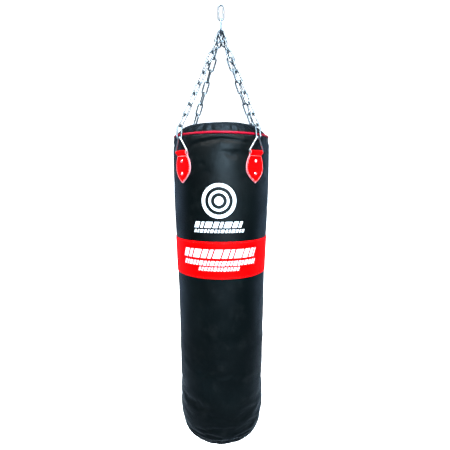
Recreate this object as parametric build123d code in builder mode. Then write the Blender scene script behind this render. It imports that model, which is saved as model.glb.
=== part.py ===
"""Heavy punching bag that hangs on four chains from one link.

Millimetres, +Z up.  The origin is the point inside the top link where a hook carries it.
The bag's front faces -Y.  Heights on the bag are measured from its rim plane, downwards.
"""

import os
from math import asin, atan2, cos, degrees, hypot, radians, sin, sqrt, tan

from build123d import *

os.makedirs("parts", exist_ok=True)

# ---------------------------------------------------------------- driving dimensions
# Bag body
BAG_RADIUS = 175.0
BAG_HEIGHT = 1211.0  # rim plane to the underside
LEATHER = 3.0
WAIST_SLIM = 6.0  # how much the filled wall draws in below the tabs
HEM_BULGE = 2.0  # how much it spreads again just above the base
NECK_PINCH = 2.0  # how much the sewn rim draws in
NECK_DROP = 40.0
SLIM_START = 215.0
SLIM_END = 560.0
BULGE_RUN = 80.0
BASE_CORNER = 176.0  # height of the rounded base
CORNER_BULGE_R = 5.87  # superellipse exponents of the base corner
CORNER_BULGE_Z = 2.74
BASE_SEAM_RISE = 51.0  # base seam above the underside

# Lid and piping
LID_RISE = 41.0
LID_FLATNESS = 2.6
LID_SHOULDER = 1.9
LID_SKIRT = 10.0  # seam allowance tucked inside the wall
PIPING_RADIUS = 3.3
PIPING_TAPE = 0.9
PIPING_TAPE_DEPTH = 12.0

# Band round the middle
BAND_TOP = 363.0
BAND_HEIGHT = 134.0
BAND_LEATHER = 1.8

# Filling
FOAM = 20.0
CANVAS = 1.0
BASE_PAD_RISE = 62.0  # top of the base pad above the underside
TOP_PAD_DROP = 18.0
CORE_DROP = 40.0

# Anchor tabs: a strap folded round a ring and riveted to the wall
TAB_COUNT = 4
FIRST_TAB_AZIMUTH = -48.3
TAB_LEATHER = 2.6
TAB_FOLD_WIDTH = 56.0
TAB_WIDTH = 80.0
TAB_LOOP_Z = -60.0
TAB_SEAM_Z = -71.0
TAB_WIDEST_Z = -107.0
TAB_TIP_Z = -164.0
LOOP_SLACK = 0.38  # play of a ring's straight bar in its loop, which bends with the wall
RIVET_HEIGHTS = (-89.0, -131.0)
RIVET_HEAD_RADIUS = 5.0
RIVET_HEAD_RISE = 2.2
RIVET_SHANK_RADIUS = 2.0
RIVET_TAIL = 1.0
BACKING = 2.0
BACKING_WIDTH = 60.0
BACKING_MARGIN = 14.0
WASHER = 1.2

# Triangular wire rings on the tabs
TAB_RING_WIRE = 2.5
TAB_RING_HEIGHT = 50.0  # bar to apex, wire centres
TAB_RING_WIDTH = 1.16  # the wire outline's width at its bar, over the strap's
TAB_RING_APEX_RADIUS = 6.0
TAB_RING_CORNER_RADIUS = 4.0
TAB_RING_TILT = 8.0

# Chain: long links of round wire
LINK_WIRE = 3.0
LINK_PITCH = 42.0  # inner length
LINK_BEND = 9.0  # wire centre radius of a link's round ends
LINKS_PER_LEG = 10
LOWEST_LINK_LEAN = 8.0
LOWEST_LINK_SHIFT = 40.0  # how far round the bend the ring's wire has settled, degrees

# Ring that gathers the four chains
GATHER_HEIGHT = 48.0
GATHER_HALF_ANGLE = 27.0
GATHER_APEX_RADIUS = 9.0
GATHER_CORNER_RADIUS = 6.0
HANG_INNER = 5.6  # places of the chains along the ring's bar, from its middle
HANG_SPACING = 7.5

# Clearances
FIT = 0.1  # sewn or riveted pieces
SOFT_GAP = 0.3  # soft layers inside
CHAIN_GAP = 0.2  # between links of one chain
HANG_GAP = 0.65  # between a chain's top link and the gathering ring's bar, which it crosses askew
SWING_GAP = 0.3  # between pieces that swing on each other
SHANK_GAP = 0.1
POCKET_MARGIN = 1.0  # foam pockets round the backings

# How the shapes are drawn
CUT_PAST = 4.0  # cutters run this far past what they cut
WALL_STEP = 36.0  # spacing of the wall outline's points
CORNER_STEP = 2.0  # least drop between the first points of the base corner

# ---------------------------------------------------------------- derived sizes
CORNER_Z = -(BAG_HEIGHT - BASE_CORNER)
BASE_Z = -BAG_HEIGHT
SEAM_Z = BASE_Z + BASE_SEAM_RISE
WALL_TOP_Z = -(PIPING_RADIUS + FIT)
PIPING_CIRCLE = BAG_RADIUS - LEATHER
LID_RADIUS = PIPING_CIRCLE - PIPING_RADIUS - SOFT_GAP - FIT
TAB_BACK_RADIUS = BAG_RADIUS + FIT
TAB_FACE_RADIUS = TAB_BACK_RADIUS + 2 * TAB_LEATHER
LOOP_BORE_RADIUS = TAB_RING_WIRE + TAB_FOLD_WIDTH**2 / (16 * BAG_RADIUS) + LOOP_SLACK
LOOP_OUTER_RADIUS = LOOP_BORE_RADIUS + TAB_LEATHER
TAB_RING_HALF_ANGLE = degrees(atan2(TAB_RING_WIDTH * TAB_FOLD_WIDTH / 2, TAB_RING_HEIGHT))
LOOP_CIRCLE = TAB_BACK_RADIUS + LOOP_OUTER_RADIUS
BACKING_OUTER = BAG_RADIUS - LEATHER - FIT
BACKING_INNER = BACKING_OUTER - BACKING
WASHER_INNER = BACKING_INNER - FIT - WASHER
LINK_WIRE_LENGTH = LINK_PITCH + 2 * LINK_WIRE
LINK_STRAIGHT = LINK_WIRE_LENGTH - 2 * LINK_BEND
TOP_LINK_BASE_Z = -(LINK_PITCH + LINK_WIRE)  # wire centre of the top link's lower bend
GATHER_APEX_Z = TOP_LINK_BASE_Z + 2 * LINK_WIRE + SWING_GAP
GATHER_BAR_Z = GATHER_APEX_Z - GATHER_HEIGHT
TAB_NAMES = ("front_right", "back_right", "back_left", "front_left")
HANG_PLACES = (-HANG_INNER - HANG_SPACING, HANG_INNER, HANG_INNER + HANG_SPACING, -HANG_INNER)
TAB_AZIMUTHS = [FIRST_TAB_AZIMUTH + 360.0 / TAB_COUNT * index for index in range(TAB_COUNT)]


# ---------------------------------------------------------------- helpers
def smooth_step(value, low, high):
    """Rise smoothly from 0 at low to 1 at high."""
    share = min(max((value - low) / (high - low), 0.0), 1.0)
    return share * share * (3 - 2 * share)


def bag_radius(z, inset=0.0):
    """Radius of the filled bag at a height below the rim, inset inwards by a wall."""
    drop = -z
    pinch = NECK_PINCH * (1 - smooth_step(drop, 0, NECK_DROP))
    slim = WAIST_SLIM * smooth_step(drop, SLIM_START, SLIM_END)
    bulge = HEM_BULGE * smooth_step(drop, -CORNER_Z - BULGE_RUN, -CORNER_Z)
    if z >= CORNER_Z:
        return BAG_RADIUS - pinch - slim + bulge - inset
    corner_radius = BAG_RADIUS - WAIST_SLIM + HEM_BULGE - inset
    depth = min((CORNER_Z - z) / (BASE_CORNER - inset), 1.0)
    return corner_radius * (1 - depth**CORNER_BULGE_Z) ** (1 / CORNER_BULGE_R)


def base_corner_points(inset, z_from):
    """Points of the rounded base, from a height down to the middle of the underside."""
    corner_radius = BAG_RADIUS - WAIST_SLIM + HEM_BULGE - inset
    height = BASE_CORNER - inset
    points = [(bag_radius(z_from, inset), z_from)]
    for angle in (25, 38, 50, 62, 72, 80, 86):
        r = corner_radius * cos(radians(angle)) ** (2 / CORNER_BULGE_R)
        z = CORNER_Z - height * sin(radians(angle)) ** (2 / CORNER_BULGE_Z)
        if z < z_from - CORNER_STEP:
            points.append((r, z))
    last_radius, last_z = points[-1]
    floor_z = CORNER_Z - height
    points.append((last_radius * 0.6, floor_z + (last_z - floor_z) * 0.12))
    points.append((0.0, floor_z))
    return points


def wall_points(inset, z_from, z_to):
    """Points down the wall between two heights, inset inwards."""
    count = max(4, round((z_from - z_to) / WALL_STEP))
    heights = [z_from + (z_to - z_from) * step / count for step in range(count + 1)]
    return [(bag_radius(z, inset), z) for z in heights]


def lid_points(inset):
    """Points of the domed lid from its middle out to its foot, inset inwards."""
    radius = LID_RADIUS - inset
    rise = LID_RISE - inset
    points = []
    for angle in (0, 14, 28, 42, 54, 64, 73, 80, 86):
        share = sin(radians(angle))
        points.append((radius * share, rise * (1 - share**LID_FLATNESS) ** (1 / LID_SHOULDER)))
    points.append((radius, 0.0))
    return points


def revolved(segments):
    """Turn a closed outline of point lists round the Z axis; two points make a line."""
    with BuildPart() as turned:
        with BuildSketch(Plane.XZ):
            with BuildLine():
                for points in segments:
                    if len(points) == 2:
                        Line(*points)
                    else:
                        Spline(*points)
            make_face()
        revolve(axis=Axis.Z)
    return turned.part


def shell_of(outer, inner):
    """Turn the wall between two point lists that run the same way round the Z axis."""
    return revolved([outer, [outer[-1], inner[-1]], inner, [inner[0], outer[0]]])


def radial_plane(azimuth, z=0.0):
    """Plane whose normal points out from the Z axis, with its own Y up."""
    outward = (cos(radians(azimuth)), sin(radians(azimuth)), 0)
    sideways = (-sin(radians(azimuth)), cos(radians(azimuth)), 0)
    return Plane(origin=(0, 0, z), x_dir=sideways, z_dir=outward)


def section_plane(azimuth, z=0.0):
    """Plane through the Z axis: local X is the distance from it and local Y is up."""
    outward = (cos(radians(azimuth)), sin(radians(azimuth)), 0)
    across = (sin(radians(azimuth)), -cos(radians(azimuth)), 0)
    return Plane(origin=(0, 0, z), x_dir=outward, z_dir=across)


def tangent_point(point, centre, radius, side):
    """Point where a line from a point touches a circle, on side +1 (left) or -1."""
    away = Vector(point[0] - centre[0], point[1] - centre[1])
    reach = radius / away.length
    turn = side * sqrt(1 - reach**2)
    x = away.X * reach - away.Y * turn
    y = away.Y * reach + away.X * turn
    return (centre[0] + x * reach, centre[1] + y * reach)


def triangle_corners(height, half_angle, apex_radius):
    """Sharp corners of a triangle, bar on y = 0, whose rounded apex reaches a height."""
    sharp = height + apex_radius * (1 / sin(radians(half_angle)) - 1)
    half_bar = sharp * tan(radians(half_angle))
    return [(half_bar, 0), (0, sharp), (-half_bar, 0)]


def wire_triangle(plane, height, half_angle, apex_radius, corner_radius, wire):
    """Closed triangular ring of round wire that lies in a plane, bar through its origin."""
    corners = triangle_corners(height, half_angle, apex_radius)
    with BuildPart() as ring:
        with BuildLine(plane):
            FilletPolyline(
                corners, radius=[corner_radius, apex_radius, corner_radius], close=True
            )
        with BuildSketch(Plane(origin=plane.origin, x_dir=plane.z_dir, z_dir=plane.x_dir)):
            Circle(wire)
        sweep()
    return ring.part


def chain_link():
    """One long link in the XY plane: its lower bend's wire centre is at the origin."""
    with BuildPart() as link:
        with BuildLine():
            bottom = CenterArc((0, LINK_BEND), LINK_BEND, 180, 180)
            Line(bottom @ 1, (LINK_BEND, LINK_BEND + LINK_STRAIGHT))
            CenterArc((0, LINK_BEND + LINK_STRAIGHT), LINK_BEND, 0, 180)
            Line((-LINK_BEND, LINK_BEND + LINK_STRAIGHT), bottom @ 0)
        with BuildSketch(Plane(origin=(LINK_BEND, LINK_BEND, 0), x_dir=(1, 0, 0), z_dir=(0, 1, 0))):
            Circle(LINK_WIRE)
        sweep()
    return link.part


# ---------------------------------------------------------------- how the bag hangs
def tab_ring_plane(azimuth):
    """Plane of a tab's ring: origin in the middle of its bar, local Y up to the apex."""
    half_fold = TAB_FOLD_WIDTH / 2
    bar_radius = LOOP_CIRCLE - half_fold**2 / (4 * LOOP_CIRCLE)
    outward = Vector(cos(radians(azimuth)), sin(radians(azimuth)), 0)
    sideways = Vector(-sin(radians(azimuth)), cos(radians(azimuth)), 0)
    tilt = radians(TAB_RING_TILT)
    up = outward * sin(tilt) + Vector(0, 0, cos(tilt))
    origin = outward * bar_radius + Vector(0, 0, TAB_LOOP_Z)
    return Plane(origin=origin, x_dir=sideways, z_dir=sideways.cross(up))


def lowest_link_plane(azimuth):
    """Plane of the link on a tab's ring: it stands almost upright, clear of the piping."""
    ring = tab_ring_plane(azimuth)
    apex = ring.origin + ring.y_dir * TAB_RING_HEIGHT
    outward = Vector(cos(radians(azimuth)), sin(radians(azimuth)), 0)
    lean = radians(LOWEST_LINK_LEAN)
    up = Vector(0, 0, cos(lean)) - outward * sin(lean)
    inward = -(outward * cos(lean) + Vector(0, 0, sin(lean)))
    settled = radians(LOWEST_LINK_SHIFT)
    reach = LINK_BEND - LINK_WIRE - TAB_RING_WIRE - CHAIN_GAP
    bend_centre = apex - (inward * sin(settled) - up * cos(settled)) * reach
    return Plane(origin=bend_centre - up * LINK_BEND, x_dir=inward, z_dir=inward.cross(up))


def leg_start(azimuth):
    """Centre of the lowest link's upper bend, where the rest of the chain pulls from."""
    plane = lowest_link_plane(azimuth)
    return plane.origin + plane.y_dir * (LINK_BEND + LINK_STRAIGHT)


FREE_LINKS = LINKS_PER_LEG - 1
LINK_STEP = LINK_WIRE_LENGTH - 2 * LINK_WIRE - CHAIN_GAP
BEND_REACH = LINK_BEND - 2 * LINK_WIRE - CHAIN_GAP
HANG_STEP = LINK_WIRE_LENGTH - 2 * LINK_WIRE - HANG_GAP
LEG_LENGTH = BEND_REACH + (FREE_LINKS - 1) * LINK_STEP + HANG_STEP


def leg_rise(azimuth, place):
    """Height from the start of a chain's straight run up to the gathering ring's bar."""
    start = leg_start(azimuth)
    return sqrt(LEG_LENGTH**2 - hypot(start.X, start.Y - place) ** 2)


RISES = [leg_rise(azimuth, place) for azimuth, place in zip(TAB_AZIMUTHS, HANG_PLACES)]
RIM_Z = GATHER_BAR_Z - sum(RISES) / TAB_COUNT - leg_start(FIRST_TAB_AZIMUTH).Z
RIM = Location((0, 0, RIM_Z))


# ---------------------------------------------------------------- leather case
def rivet_holes(radius_from, radius_to):
    """Cutters for the rivets' shank holes through a curved wall, at each tab."""
    with BuildPart() as cutters:
        for azimuth in TAB_AZIMUTHS:
            with BuildSketch(radial_plane(azimuth).offset(radius_from)):
                with Locations(*[(0, z) for z in RIVET_HEIGHTS]):
                    Circle(RIVET_SHANK_RADIUS + SHANK_GAP)
            extrude(amount=radius_to - radius_from)
    return cutters.part


def case_wall_runs(inset):
    """Neck, straight part behind the tabs and lower run of the side wall, inset inwards."""
    low = [CORNER_Z + (SEAM_Z - CORNER_Z) * share for share in (0.25, 0.5, 0.75, 1.0)]
    neck = wall_points(inset, WALL_TOP_Z, -NECK_DROP)
    lower = wall_points(inset, -SLIM_START, CORNER_Z) + [(bag_radius(z, inset), z) for z in low]
    return [neck, [neck[-1], lower[0]], lower]


with BuildPart() as side_wall:
    outside = case_wall_runs(0)
    inside = case_wall_runs(LEATHER)
    foot = [outside[-1][-1], inside[-1][-1]]
    add(RIM * revolved([*outside, foot, *inside, [inside[0][0], outside[0][0]]]))
    add(RIM * rivet_holes(BAG_RADIUS - LEATHER - CUT_PAST, BAG_RADIUS + CUT_PAST), mode=Mode.SUBTRACT)
side_wall.part.label = "side_wall"
export_step(side_wall.part, "parts/side_wall.step")

with BuildPart() as base_cap:
    cap_outside = base_corner_points(0, SEAM_Z - FIT)
    add(RIM * shell_of(cap_outside, base_corner_points(LEATHER, SEAM_Z - FIT)))
base_cap.part.label = "base_cap"
export_step(base_cap.part, "parts/base_cap.step")

with BuildPart() as top_lid:
    outer = lid_points(0)
    inner = lid_points(LEATHER)
    add(
        RIM * revolved(
            [
                outer,
                [outer[-1], (outer[-1][0], -LID_SKIRT)],
                [(outer[-1][0], -LID_SKIRT), (inner[-1][0], -LID_SKIRT)],
                [(inner[-1][0], -LID_SKIRT), inner[-1]],
                inner,
                [inner[0], outer[0]],
            ]
        )
    )
top_lid.part.label = "top_lid"
export_step(top_lid.part, "parts/top_lid.step")

with BuildPart() as rim_piping:
    with BuildSketch(Plane(origin=(0, 0, RIM_Z), x_dir=(1, 0, 0), z_dir=(0, -1, 0))):
        with Locations((PIPING_CIRCLE, 0)):
            Circle(PIPING_RADIUS)
        with Locations((PIPING_CIRCLE - PIPING_RADIUS, -PIPING_TAPE_DEPTH)):
            Rectangle(PIPING_TAPE, PIPING_TAPE_DEPTH, align=(Align.MIN, Align.MIN))
    revolve(axis=Axis.Z)
rim_piping.part.label = "rim_piping"
export_step(rim_piping.part, "parts/rim_piping.step")

with BuildPart() as waist_band:
    add(
        RIM * shell_of(
            wall_points(-FIT - BAND_LEATHER, -BAND_TOP, -BAND_TOP - BAND_HEIGHT),
            wall_points(-FIT, -BAND_TOP, -BAND_TOP - BAND_HEIGHT),
        )
    )
waist_band.part.label = "waist_band"
export_step(waist_band.part, "parts/waist_band.step")

# ---------------------------------------------------------------- filling
FOAM_OUTER = LEATHER + SOFT_GAP
CANVAS_OUTER = FOAM_OUTER + FOAM + SOFT_GAP
CORE_OUTER = CANVAS_OUTER + CANVAS + SOFT_GAP
FILL_FLOOR_Z = BASE_Z + BASE_PAD_RISE + SOFT_GAP
POCKET_DEPTH = BAG_RADIUS - FOAM_OUTER - (WASHER_INNER - RIVET_TAIL - SOFT_GAP)


def backing_sector(azimuth, inner, outer, margin):
    """Curved block behind a tab's rivets, wider and taller than the backing by a margin."""
    width_angle = degrees((BACKING_WIDTH + 2 * margin) / BAG_RADIUS)
    low = min(RIVET_HEIGHTS) - BACKING_MARGIN - margin
    high = max(RIVET_HEIGHTS) + BACKING_MARGIN + margin
    with BuildPart() as block:
        with BuildSketch(section_plane(azimuth - width_angle / 2)):
            with Locations((inner, low)):
                Rectangle(outer - inner, high - low, align=(Align.MIN, Align.MIN))
        revolve(axis=Axis.Z, revolution_arc=width_angle)
    return block.part


with BuildPart() as foam_sleeve:
    top = -TOP_PAD_DROP - SOFT_GAP
    add(
        RIM * shell_of(
            wall_points(FOAM_OUTER, top, FILL_FLOOR_Z),
            wall_points(FOAM_OUTER + FOAM, top, FILL_FLOOR_Z),
        )
    )
    for azimuth in TAB_AZIMUTHS:
        pocket_floor = BAG_RADIUS - FOAM_OUTER - POCKET_DEPTH
        add(RIM * backing_sector(azimuth, pocket_floor, BAG_RADIUS, POCKET_MARGIN), mode=Mode.SUBTRACT)
foam_sleeve.part.label = "foam_sleeve"
export_step(foam_sleeve.part, "parts/foam_sleeve.step")

with BuildPart() as canvas_liner:
    add(
        RIM * shell_of(
            wall_points(CANVAS_OUTER, -TOP_PAD_DROP - SOFT_GAP, FILL_FLOOR_Z),
            wall_points(CANVAS_OUTER + CANVAS, -TOP_PAD_DROP - SOFT_GAP, FILL_FLOOR_Z),
        )
    )
canvas_liner.part.label = "canvas_liner"
export_step(canvas_liner.part, "parts/canvas_liner.step")

with BuildPart() as filling_core:
    side = wall_points(CORE_OUTER, -CORE_DROP, FILL_FLOOR_Z)
    add(RIM * revolved([side, [side[-1], (0, side[-1][1])], [(0, side[-1][1]), (0, side[0][1])],
                        [(0, side[0][1]), side[0]]]))
filling_core.part.label = "filling_core"
export_step(filling_core.part, "parts/filling_core.step")

with BuildPart() as top_pad:
    dome = lid_points(LEATHER + SOFT_GAP)
    foot = (dome[-1][0], -TOP_PAD_DROP)
    add(RIM * revolved([dome, [dome[-1], foot], [foot, (0, foot[1])], [(0, foot[1]), dome[0]]]))
top_pad.part.label = "top_pad"
export_step(top_pad.part, "parts/top_pad.step")

with BuildPart() as base_pad:
    dish = base_corner_points(LEATHER + SOFT_GAP, BASE_Z + BASE_PAD_RISE)
    add(RIM * revolved([dish, [dish[-1], (0, dish[0][1])], [(0, dish[0][1]), dish[0]]]))
base_pad.part.label = "base_pad"
export_step(base_pad.part, "parts/base_pad.step")

# ---------------------------------------------------------------- anchor tabs
SEAM_POINT = (TAB_FACE_RADIUS, TAB_SEAM_Z)
LOOP_CENTRE = (LOOP_CIRCLE, TAB_LOOP_Z)


def anchor_tab(azimuth):
    """Strap folded over the ring's bar: two leaves below, an open loop above."""
    front_touch = tangent_point(SEAM_POINT, LOOP_CENTRE, LOOP_OUTER_RADIUS, 1)
    loop_top = (LOOP_CIRCLE, TAB_LOOP_Z + LOOP_OUTER_RADIUS)
    back_touch = (TAB_BACK_RADIUS, TAB_LOOP_Z)
    half_angle = degrees((TAB_WIDTH / 2 + CUT_PAST) / TAB_BACK_RADIUS)
    half_fold = TAB_FOLD_WIDTH / 2
    half_tab = TAB_WIDTH / 2
    top_z = TAB_LOOP_Z + LOOP_OUTER_RADIUS + CUT_PAST
    low_z = TAB_TIP_Z - CUT_PAST
    with BuildPart() as tab:
        with BuildSketch(section_plane(azimuth - half_angle)):
            with BuildLine():
                ThreePointArc(back_touch, loop_top, front_touch)
                Polyline(front_touch, SEAM_POINT, (TAB_FACE_RADIUS, low_z),
                         (TAB_BACK_RADIUS, low_z), back_touch)
            make_face()
            with Locations(LOOP_CENTRE):
                Circle(LOOP_BORE_RADIUS, mode=Mode.SUBTRACT)
        revolve(axis=Axis.Z, revolution_arc=2 * half_angle)
        with BuildSketch(radial_plane(azimuth).offset(TAB_BACK_RADIUS * 0.5)):
            with BuildLine():
                Line((-half_fold, top_z), (half_fold, top_z))
                Line((half_fold, top_z), (half_fold, TAB_SEAM_Z))
                Spline((half_fold, TAB_SEAM_Z), (half_tab, TAB_WIDEST_Z), (0, TAB_TIP_Z),
                       tangents=((0.3, -1), (-0.75, -0.66)))
                Spline((0, TAB_TIP_Z), (-half_tab, TAB_WIDEST_Z), (-half_fold, TAB_SEAM_Z),
                       tangents=((-0.75, 0.66), (0.3, 1)))
                Line((-half_fold, TAB_SEAM_Z), (-half_fold, top_z))
            make_face()
        extrude(amount=TAB_BACK_RADIUS, mode=Mode.INTERSECT)
        add(rivet_holes(TAB_BACK_RADIUS - CUT_PAST, TAB_FACE_RADIUS + CUT_PAST), mode=Mode.SUBTRACT)
    return tab.part


def rivet_pair(azimuth):
    """Two domed rivets whose shanks pass through the strap, the wall and the backing."""
    tail = WASHER_INNER - RIVET_TAIL
    face = TAB_FACE_RADIUS + FIT / 2
    crown = face + RIVET_HEAD_RISE
    dome = (RIVET_HEAD_RADIUS**2 + RIVET_HEAD_RISE**2) / (2 * RIVET_HEAD_RISE)
    half_turn = asin(RIVET_HEAD_RADIUS / dome) / 2
    shoulder = (crown - dome + dome * cos(half_turn), dome * sin(half_turn))
    with BuildPart() as rivets:
        for z in RIVET_HEIGHTS:
            plane = section_plane(azimuth, z)
            with BuildSketch(plane):
                with BuildLine():
                    Polyline((crown, 0), (tail, 0), (tail, RIVET_SHANK_RADIUS),
                             (face, RIVET_SHANK_RADIUS), (face, RIVET_HEAD_RADIUS))
                    ThreePointArc((face, RIVET_HEAD_RADIUS), shoulder, (crown, 0))
                make_face()
            revolve(axis=Axis(origin=plane.origin, direction=plane.x_dir))
    return rivets.part


def washer_pair(azimuth):
    """Two burr washers that close the rivets behind the backing."""
    with BuildPart() as washers:
        with BuildSketch(radial_plane(azimuth).offset(WASHER_INNER)):
            with Locations(*[(0, z) for z in RIVET_HEIGHTS]):
                Circle(RIVET_HEAD_RADIUS)
                Circle(RIVET_SHANK_RADIUS + SHANK_GAP, mode=Mode.SUBTRACT)
        extrude(amount=WASHER)
    return washers.part


# ---------------------------------------------------------------- chains
LINK = chain_link()


def leg_link_planes(azimuth, place):
    """Planes of one chain's links from the tab's ring up, twisting evenly on the way."""
    lowest = lowest_link_plane(azimuth)
    start = leg_start(azimuth)
    top = Vector(0, place, GATHER_BAR_Z - RIM_Z)
    pull = (top - start).normalized()
    first = start + pull * BEND_REACH
    step = ((top - first).length - HANG_STEP) / (FREE_LINKS - 1)
    flat = (lowest.z_dir - pull * lowest.z_dir.dot(pull)).normalized()
    square = pull.cross(flat)
    on_bar = pull.cross(Vector(1, 0, 0))
    bar_roll = degrees(atan2(on_bar.dot(square), on_bar.dot(flat)))
    twist = bar_roll % 180 - 90
    planes = [lowest]
    for index in range(FREE_LINKS):
        roll = radians((index + 1) * (90 + twist / FREE_LINKS))
        normal = flat * cos(roll) + square * sin(roll)
        planes.append(Plane(origin=first + pull * (step * index), x_dir=pull.cross(normal), z_dir=normal))
    return planes


def leg_chain(azimuth, place):
    """One chain of separate links from a tab's ring to the gathering ring."""
    with BuildPart() as leg:
        for plane in leg_link_planes(azimuth, place):
            add(LINK.moved(plane.location))
    return leg.part


for name, azimuth, place in zip(TAB_NAMES, TAB_AZIMUTHS, HANG_PLACES):
    half_backing = degrees(BACKING_WIDTH / BAG_RADIUS) / 2
    pieces = {
        "anchor_tab": anchor_tab(azimuth),
        "tab_backing": backing_sector(azimuth, BACKING_INNER, BACKING_OUTER, 0)
        - rivet_holes(BACKING_INNER - CUT_PAST, BACKING_OUTER + CUT_PAST),
        "tab_rivets": rivet_pair(azimuth),
        "rivet_washers": washer_pair(azimuth),
        "tab_ring": wire_triangle(tab_ring_plane(azimuth), TAB_RING_HEIGHT, TAB_RING_HALF_ANGLE,
                                  TAB_RING_APEX_RADIUS, TAB_RING_CORNER_RADIUS, TAB_RING_WIRE),
        "leg_chain": leg_chain(azimuth, place),
    }
    for kind, shape in pieces.items():
        shape = RIM * shape
        shape.label = f"{kind}_{name}"
        export_step(shape, f"parts/{shape.label}.step")

with BuildPart() as gathering_ring:
    bar_plane = Plane(origin=(0, 0, GATHER_BAR_Z), x_dir=(0, 1, 0), z_dir=(1, 0, 0))
    add(wire_triangle(bar_plane, GATHER_HEIGHT, GATHER_HALF_ANGLE, GATHER_APEX_RADIUS,
                      GATHER_CORNER_RADIUS, LINK_WIRE))
gathering_ring.part.label = "gathering_ring"
export_step(gathering_ring.part, "parts/gathering_ring.step")

with BuildPart() as top_link:
    add(LINK.moved(Plane(origin=(0, 0, TOP_LINK_BASE_Z), x_dir=(1, 0, 0), z_dir=(0, -1, 0)).location))
top_link.part.label = "top_link"
export_step(top_link.part, "parts/top_link.step")

print("rim plane below the hook point:", round(RIM_Z, 2))
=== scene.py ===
"""Looks of a heavy punching bag that hangs on four chains.

Metres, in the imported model's frame: +Z up, the hook point at the origin, the front facing -Y.
Each sub-assembly is a class that builds its pieces and dresses them.
"""

import logging
import math
from dataclasses import dataclass
from enum import Enum
from typing import Callable, Sequence

import bpy
import numpy as np
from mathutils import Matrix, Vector, noise


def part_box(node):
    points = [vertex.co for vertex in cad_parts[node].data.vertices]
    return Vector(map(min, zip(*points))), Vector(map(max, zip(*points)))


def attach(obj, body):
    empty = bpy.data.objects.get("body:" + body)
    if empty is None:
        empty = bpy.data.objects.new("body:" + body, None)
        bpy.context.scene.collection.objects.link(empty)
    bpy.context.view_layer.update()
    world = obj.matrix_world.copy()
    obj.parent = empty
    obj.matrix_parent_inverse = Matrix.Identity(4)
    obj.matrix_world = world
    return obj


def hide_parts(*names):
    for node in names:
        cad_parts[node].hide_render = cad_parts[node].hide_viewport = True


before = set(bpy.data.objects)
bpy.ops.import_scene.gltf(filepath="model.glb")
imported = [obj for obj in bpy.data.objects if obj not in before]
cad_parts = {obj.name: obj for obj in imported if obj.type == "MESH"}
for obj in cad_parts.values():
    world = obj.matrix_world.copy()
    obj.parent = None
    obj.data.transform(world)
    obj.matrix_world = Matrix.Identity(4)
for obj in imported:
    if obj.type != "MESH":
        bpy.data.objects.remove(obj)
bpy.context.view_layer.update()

log = logging.getLogger("bag")

MM = 0.001
TAU = 2 * math.pi
BAG_BODY = "bag"
TAB_SIDES = ("front_right", "back_right", "back_left", "front_left")

Surface = Callable[[float, float], float]
Path = Callable[[float], tuple[Vector, Vector]]
Face = tuple[int, ...]
Patch = tuple[list[Vector], list[Face]]
Colour = tuple[float, float, float]


# ------------------------------------------------------------------ places read from the frame
def low_high(node: str) -> tuple[Vector, Vector]:
    """Lowest and highest corner of a CAD node at rest."""
    low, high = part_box(node)
    return Vector(low), Vector(high)


PIPING_RADIUS = 3.3 * MM
RIM_Z = low_high("rim_piping")[1].z - PIPING_RADIUS
PIPING_CIRCLE = low_high("rim_piping")[1].x - PIPING_RADIUS
BASE_Z = low_high("base_cap")[0].z
SEAM_Z = low_high("base_cap")[1].z
BAG_RADIUS = low_high("side_wall")[1].x
BAND_LOW_Z = low_high("waist_band")[0].z
BAND_HIGH_Z = low_high("waist_band")[1].z
LID_HIGH_Z = low_high("top_lid")[1].z
LID_RADIUS = low_high("top_lid")[1].x


def azimuth_of(node: str) -> float:
    """Angle of a node's middle round the bag, from +X towards +Y, in radians."""
    low, high = low_high(node)
    middle = (low + high) / 2
    return math.atan2(middle.y, middle.x)


def at_angle(angle: float, reach: float, z: float) -> Vector:
    """Point at an angle round the Z axis, a distance from the axis and a height."""
    return Vector((reach * math.cos(angle), reach * math.sin(angle), z))


def outward_at(angle: float) -> Vector:
    """Level direction away from the Z axis at an angle."""
    return Vector((math.cos(angle), math.sin(angle), 0))


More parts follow.
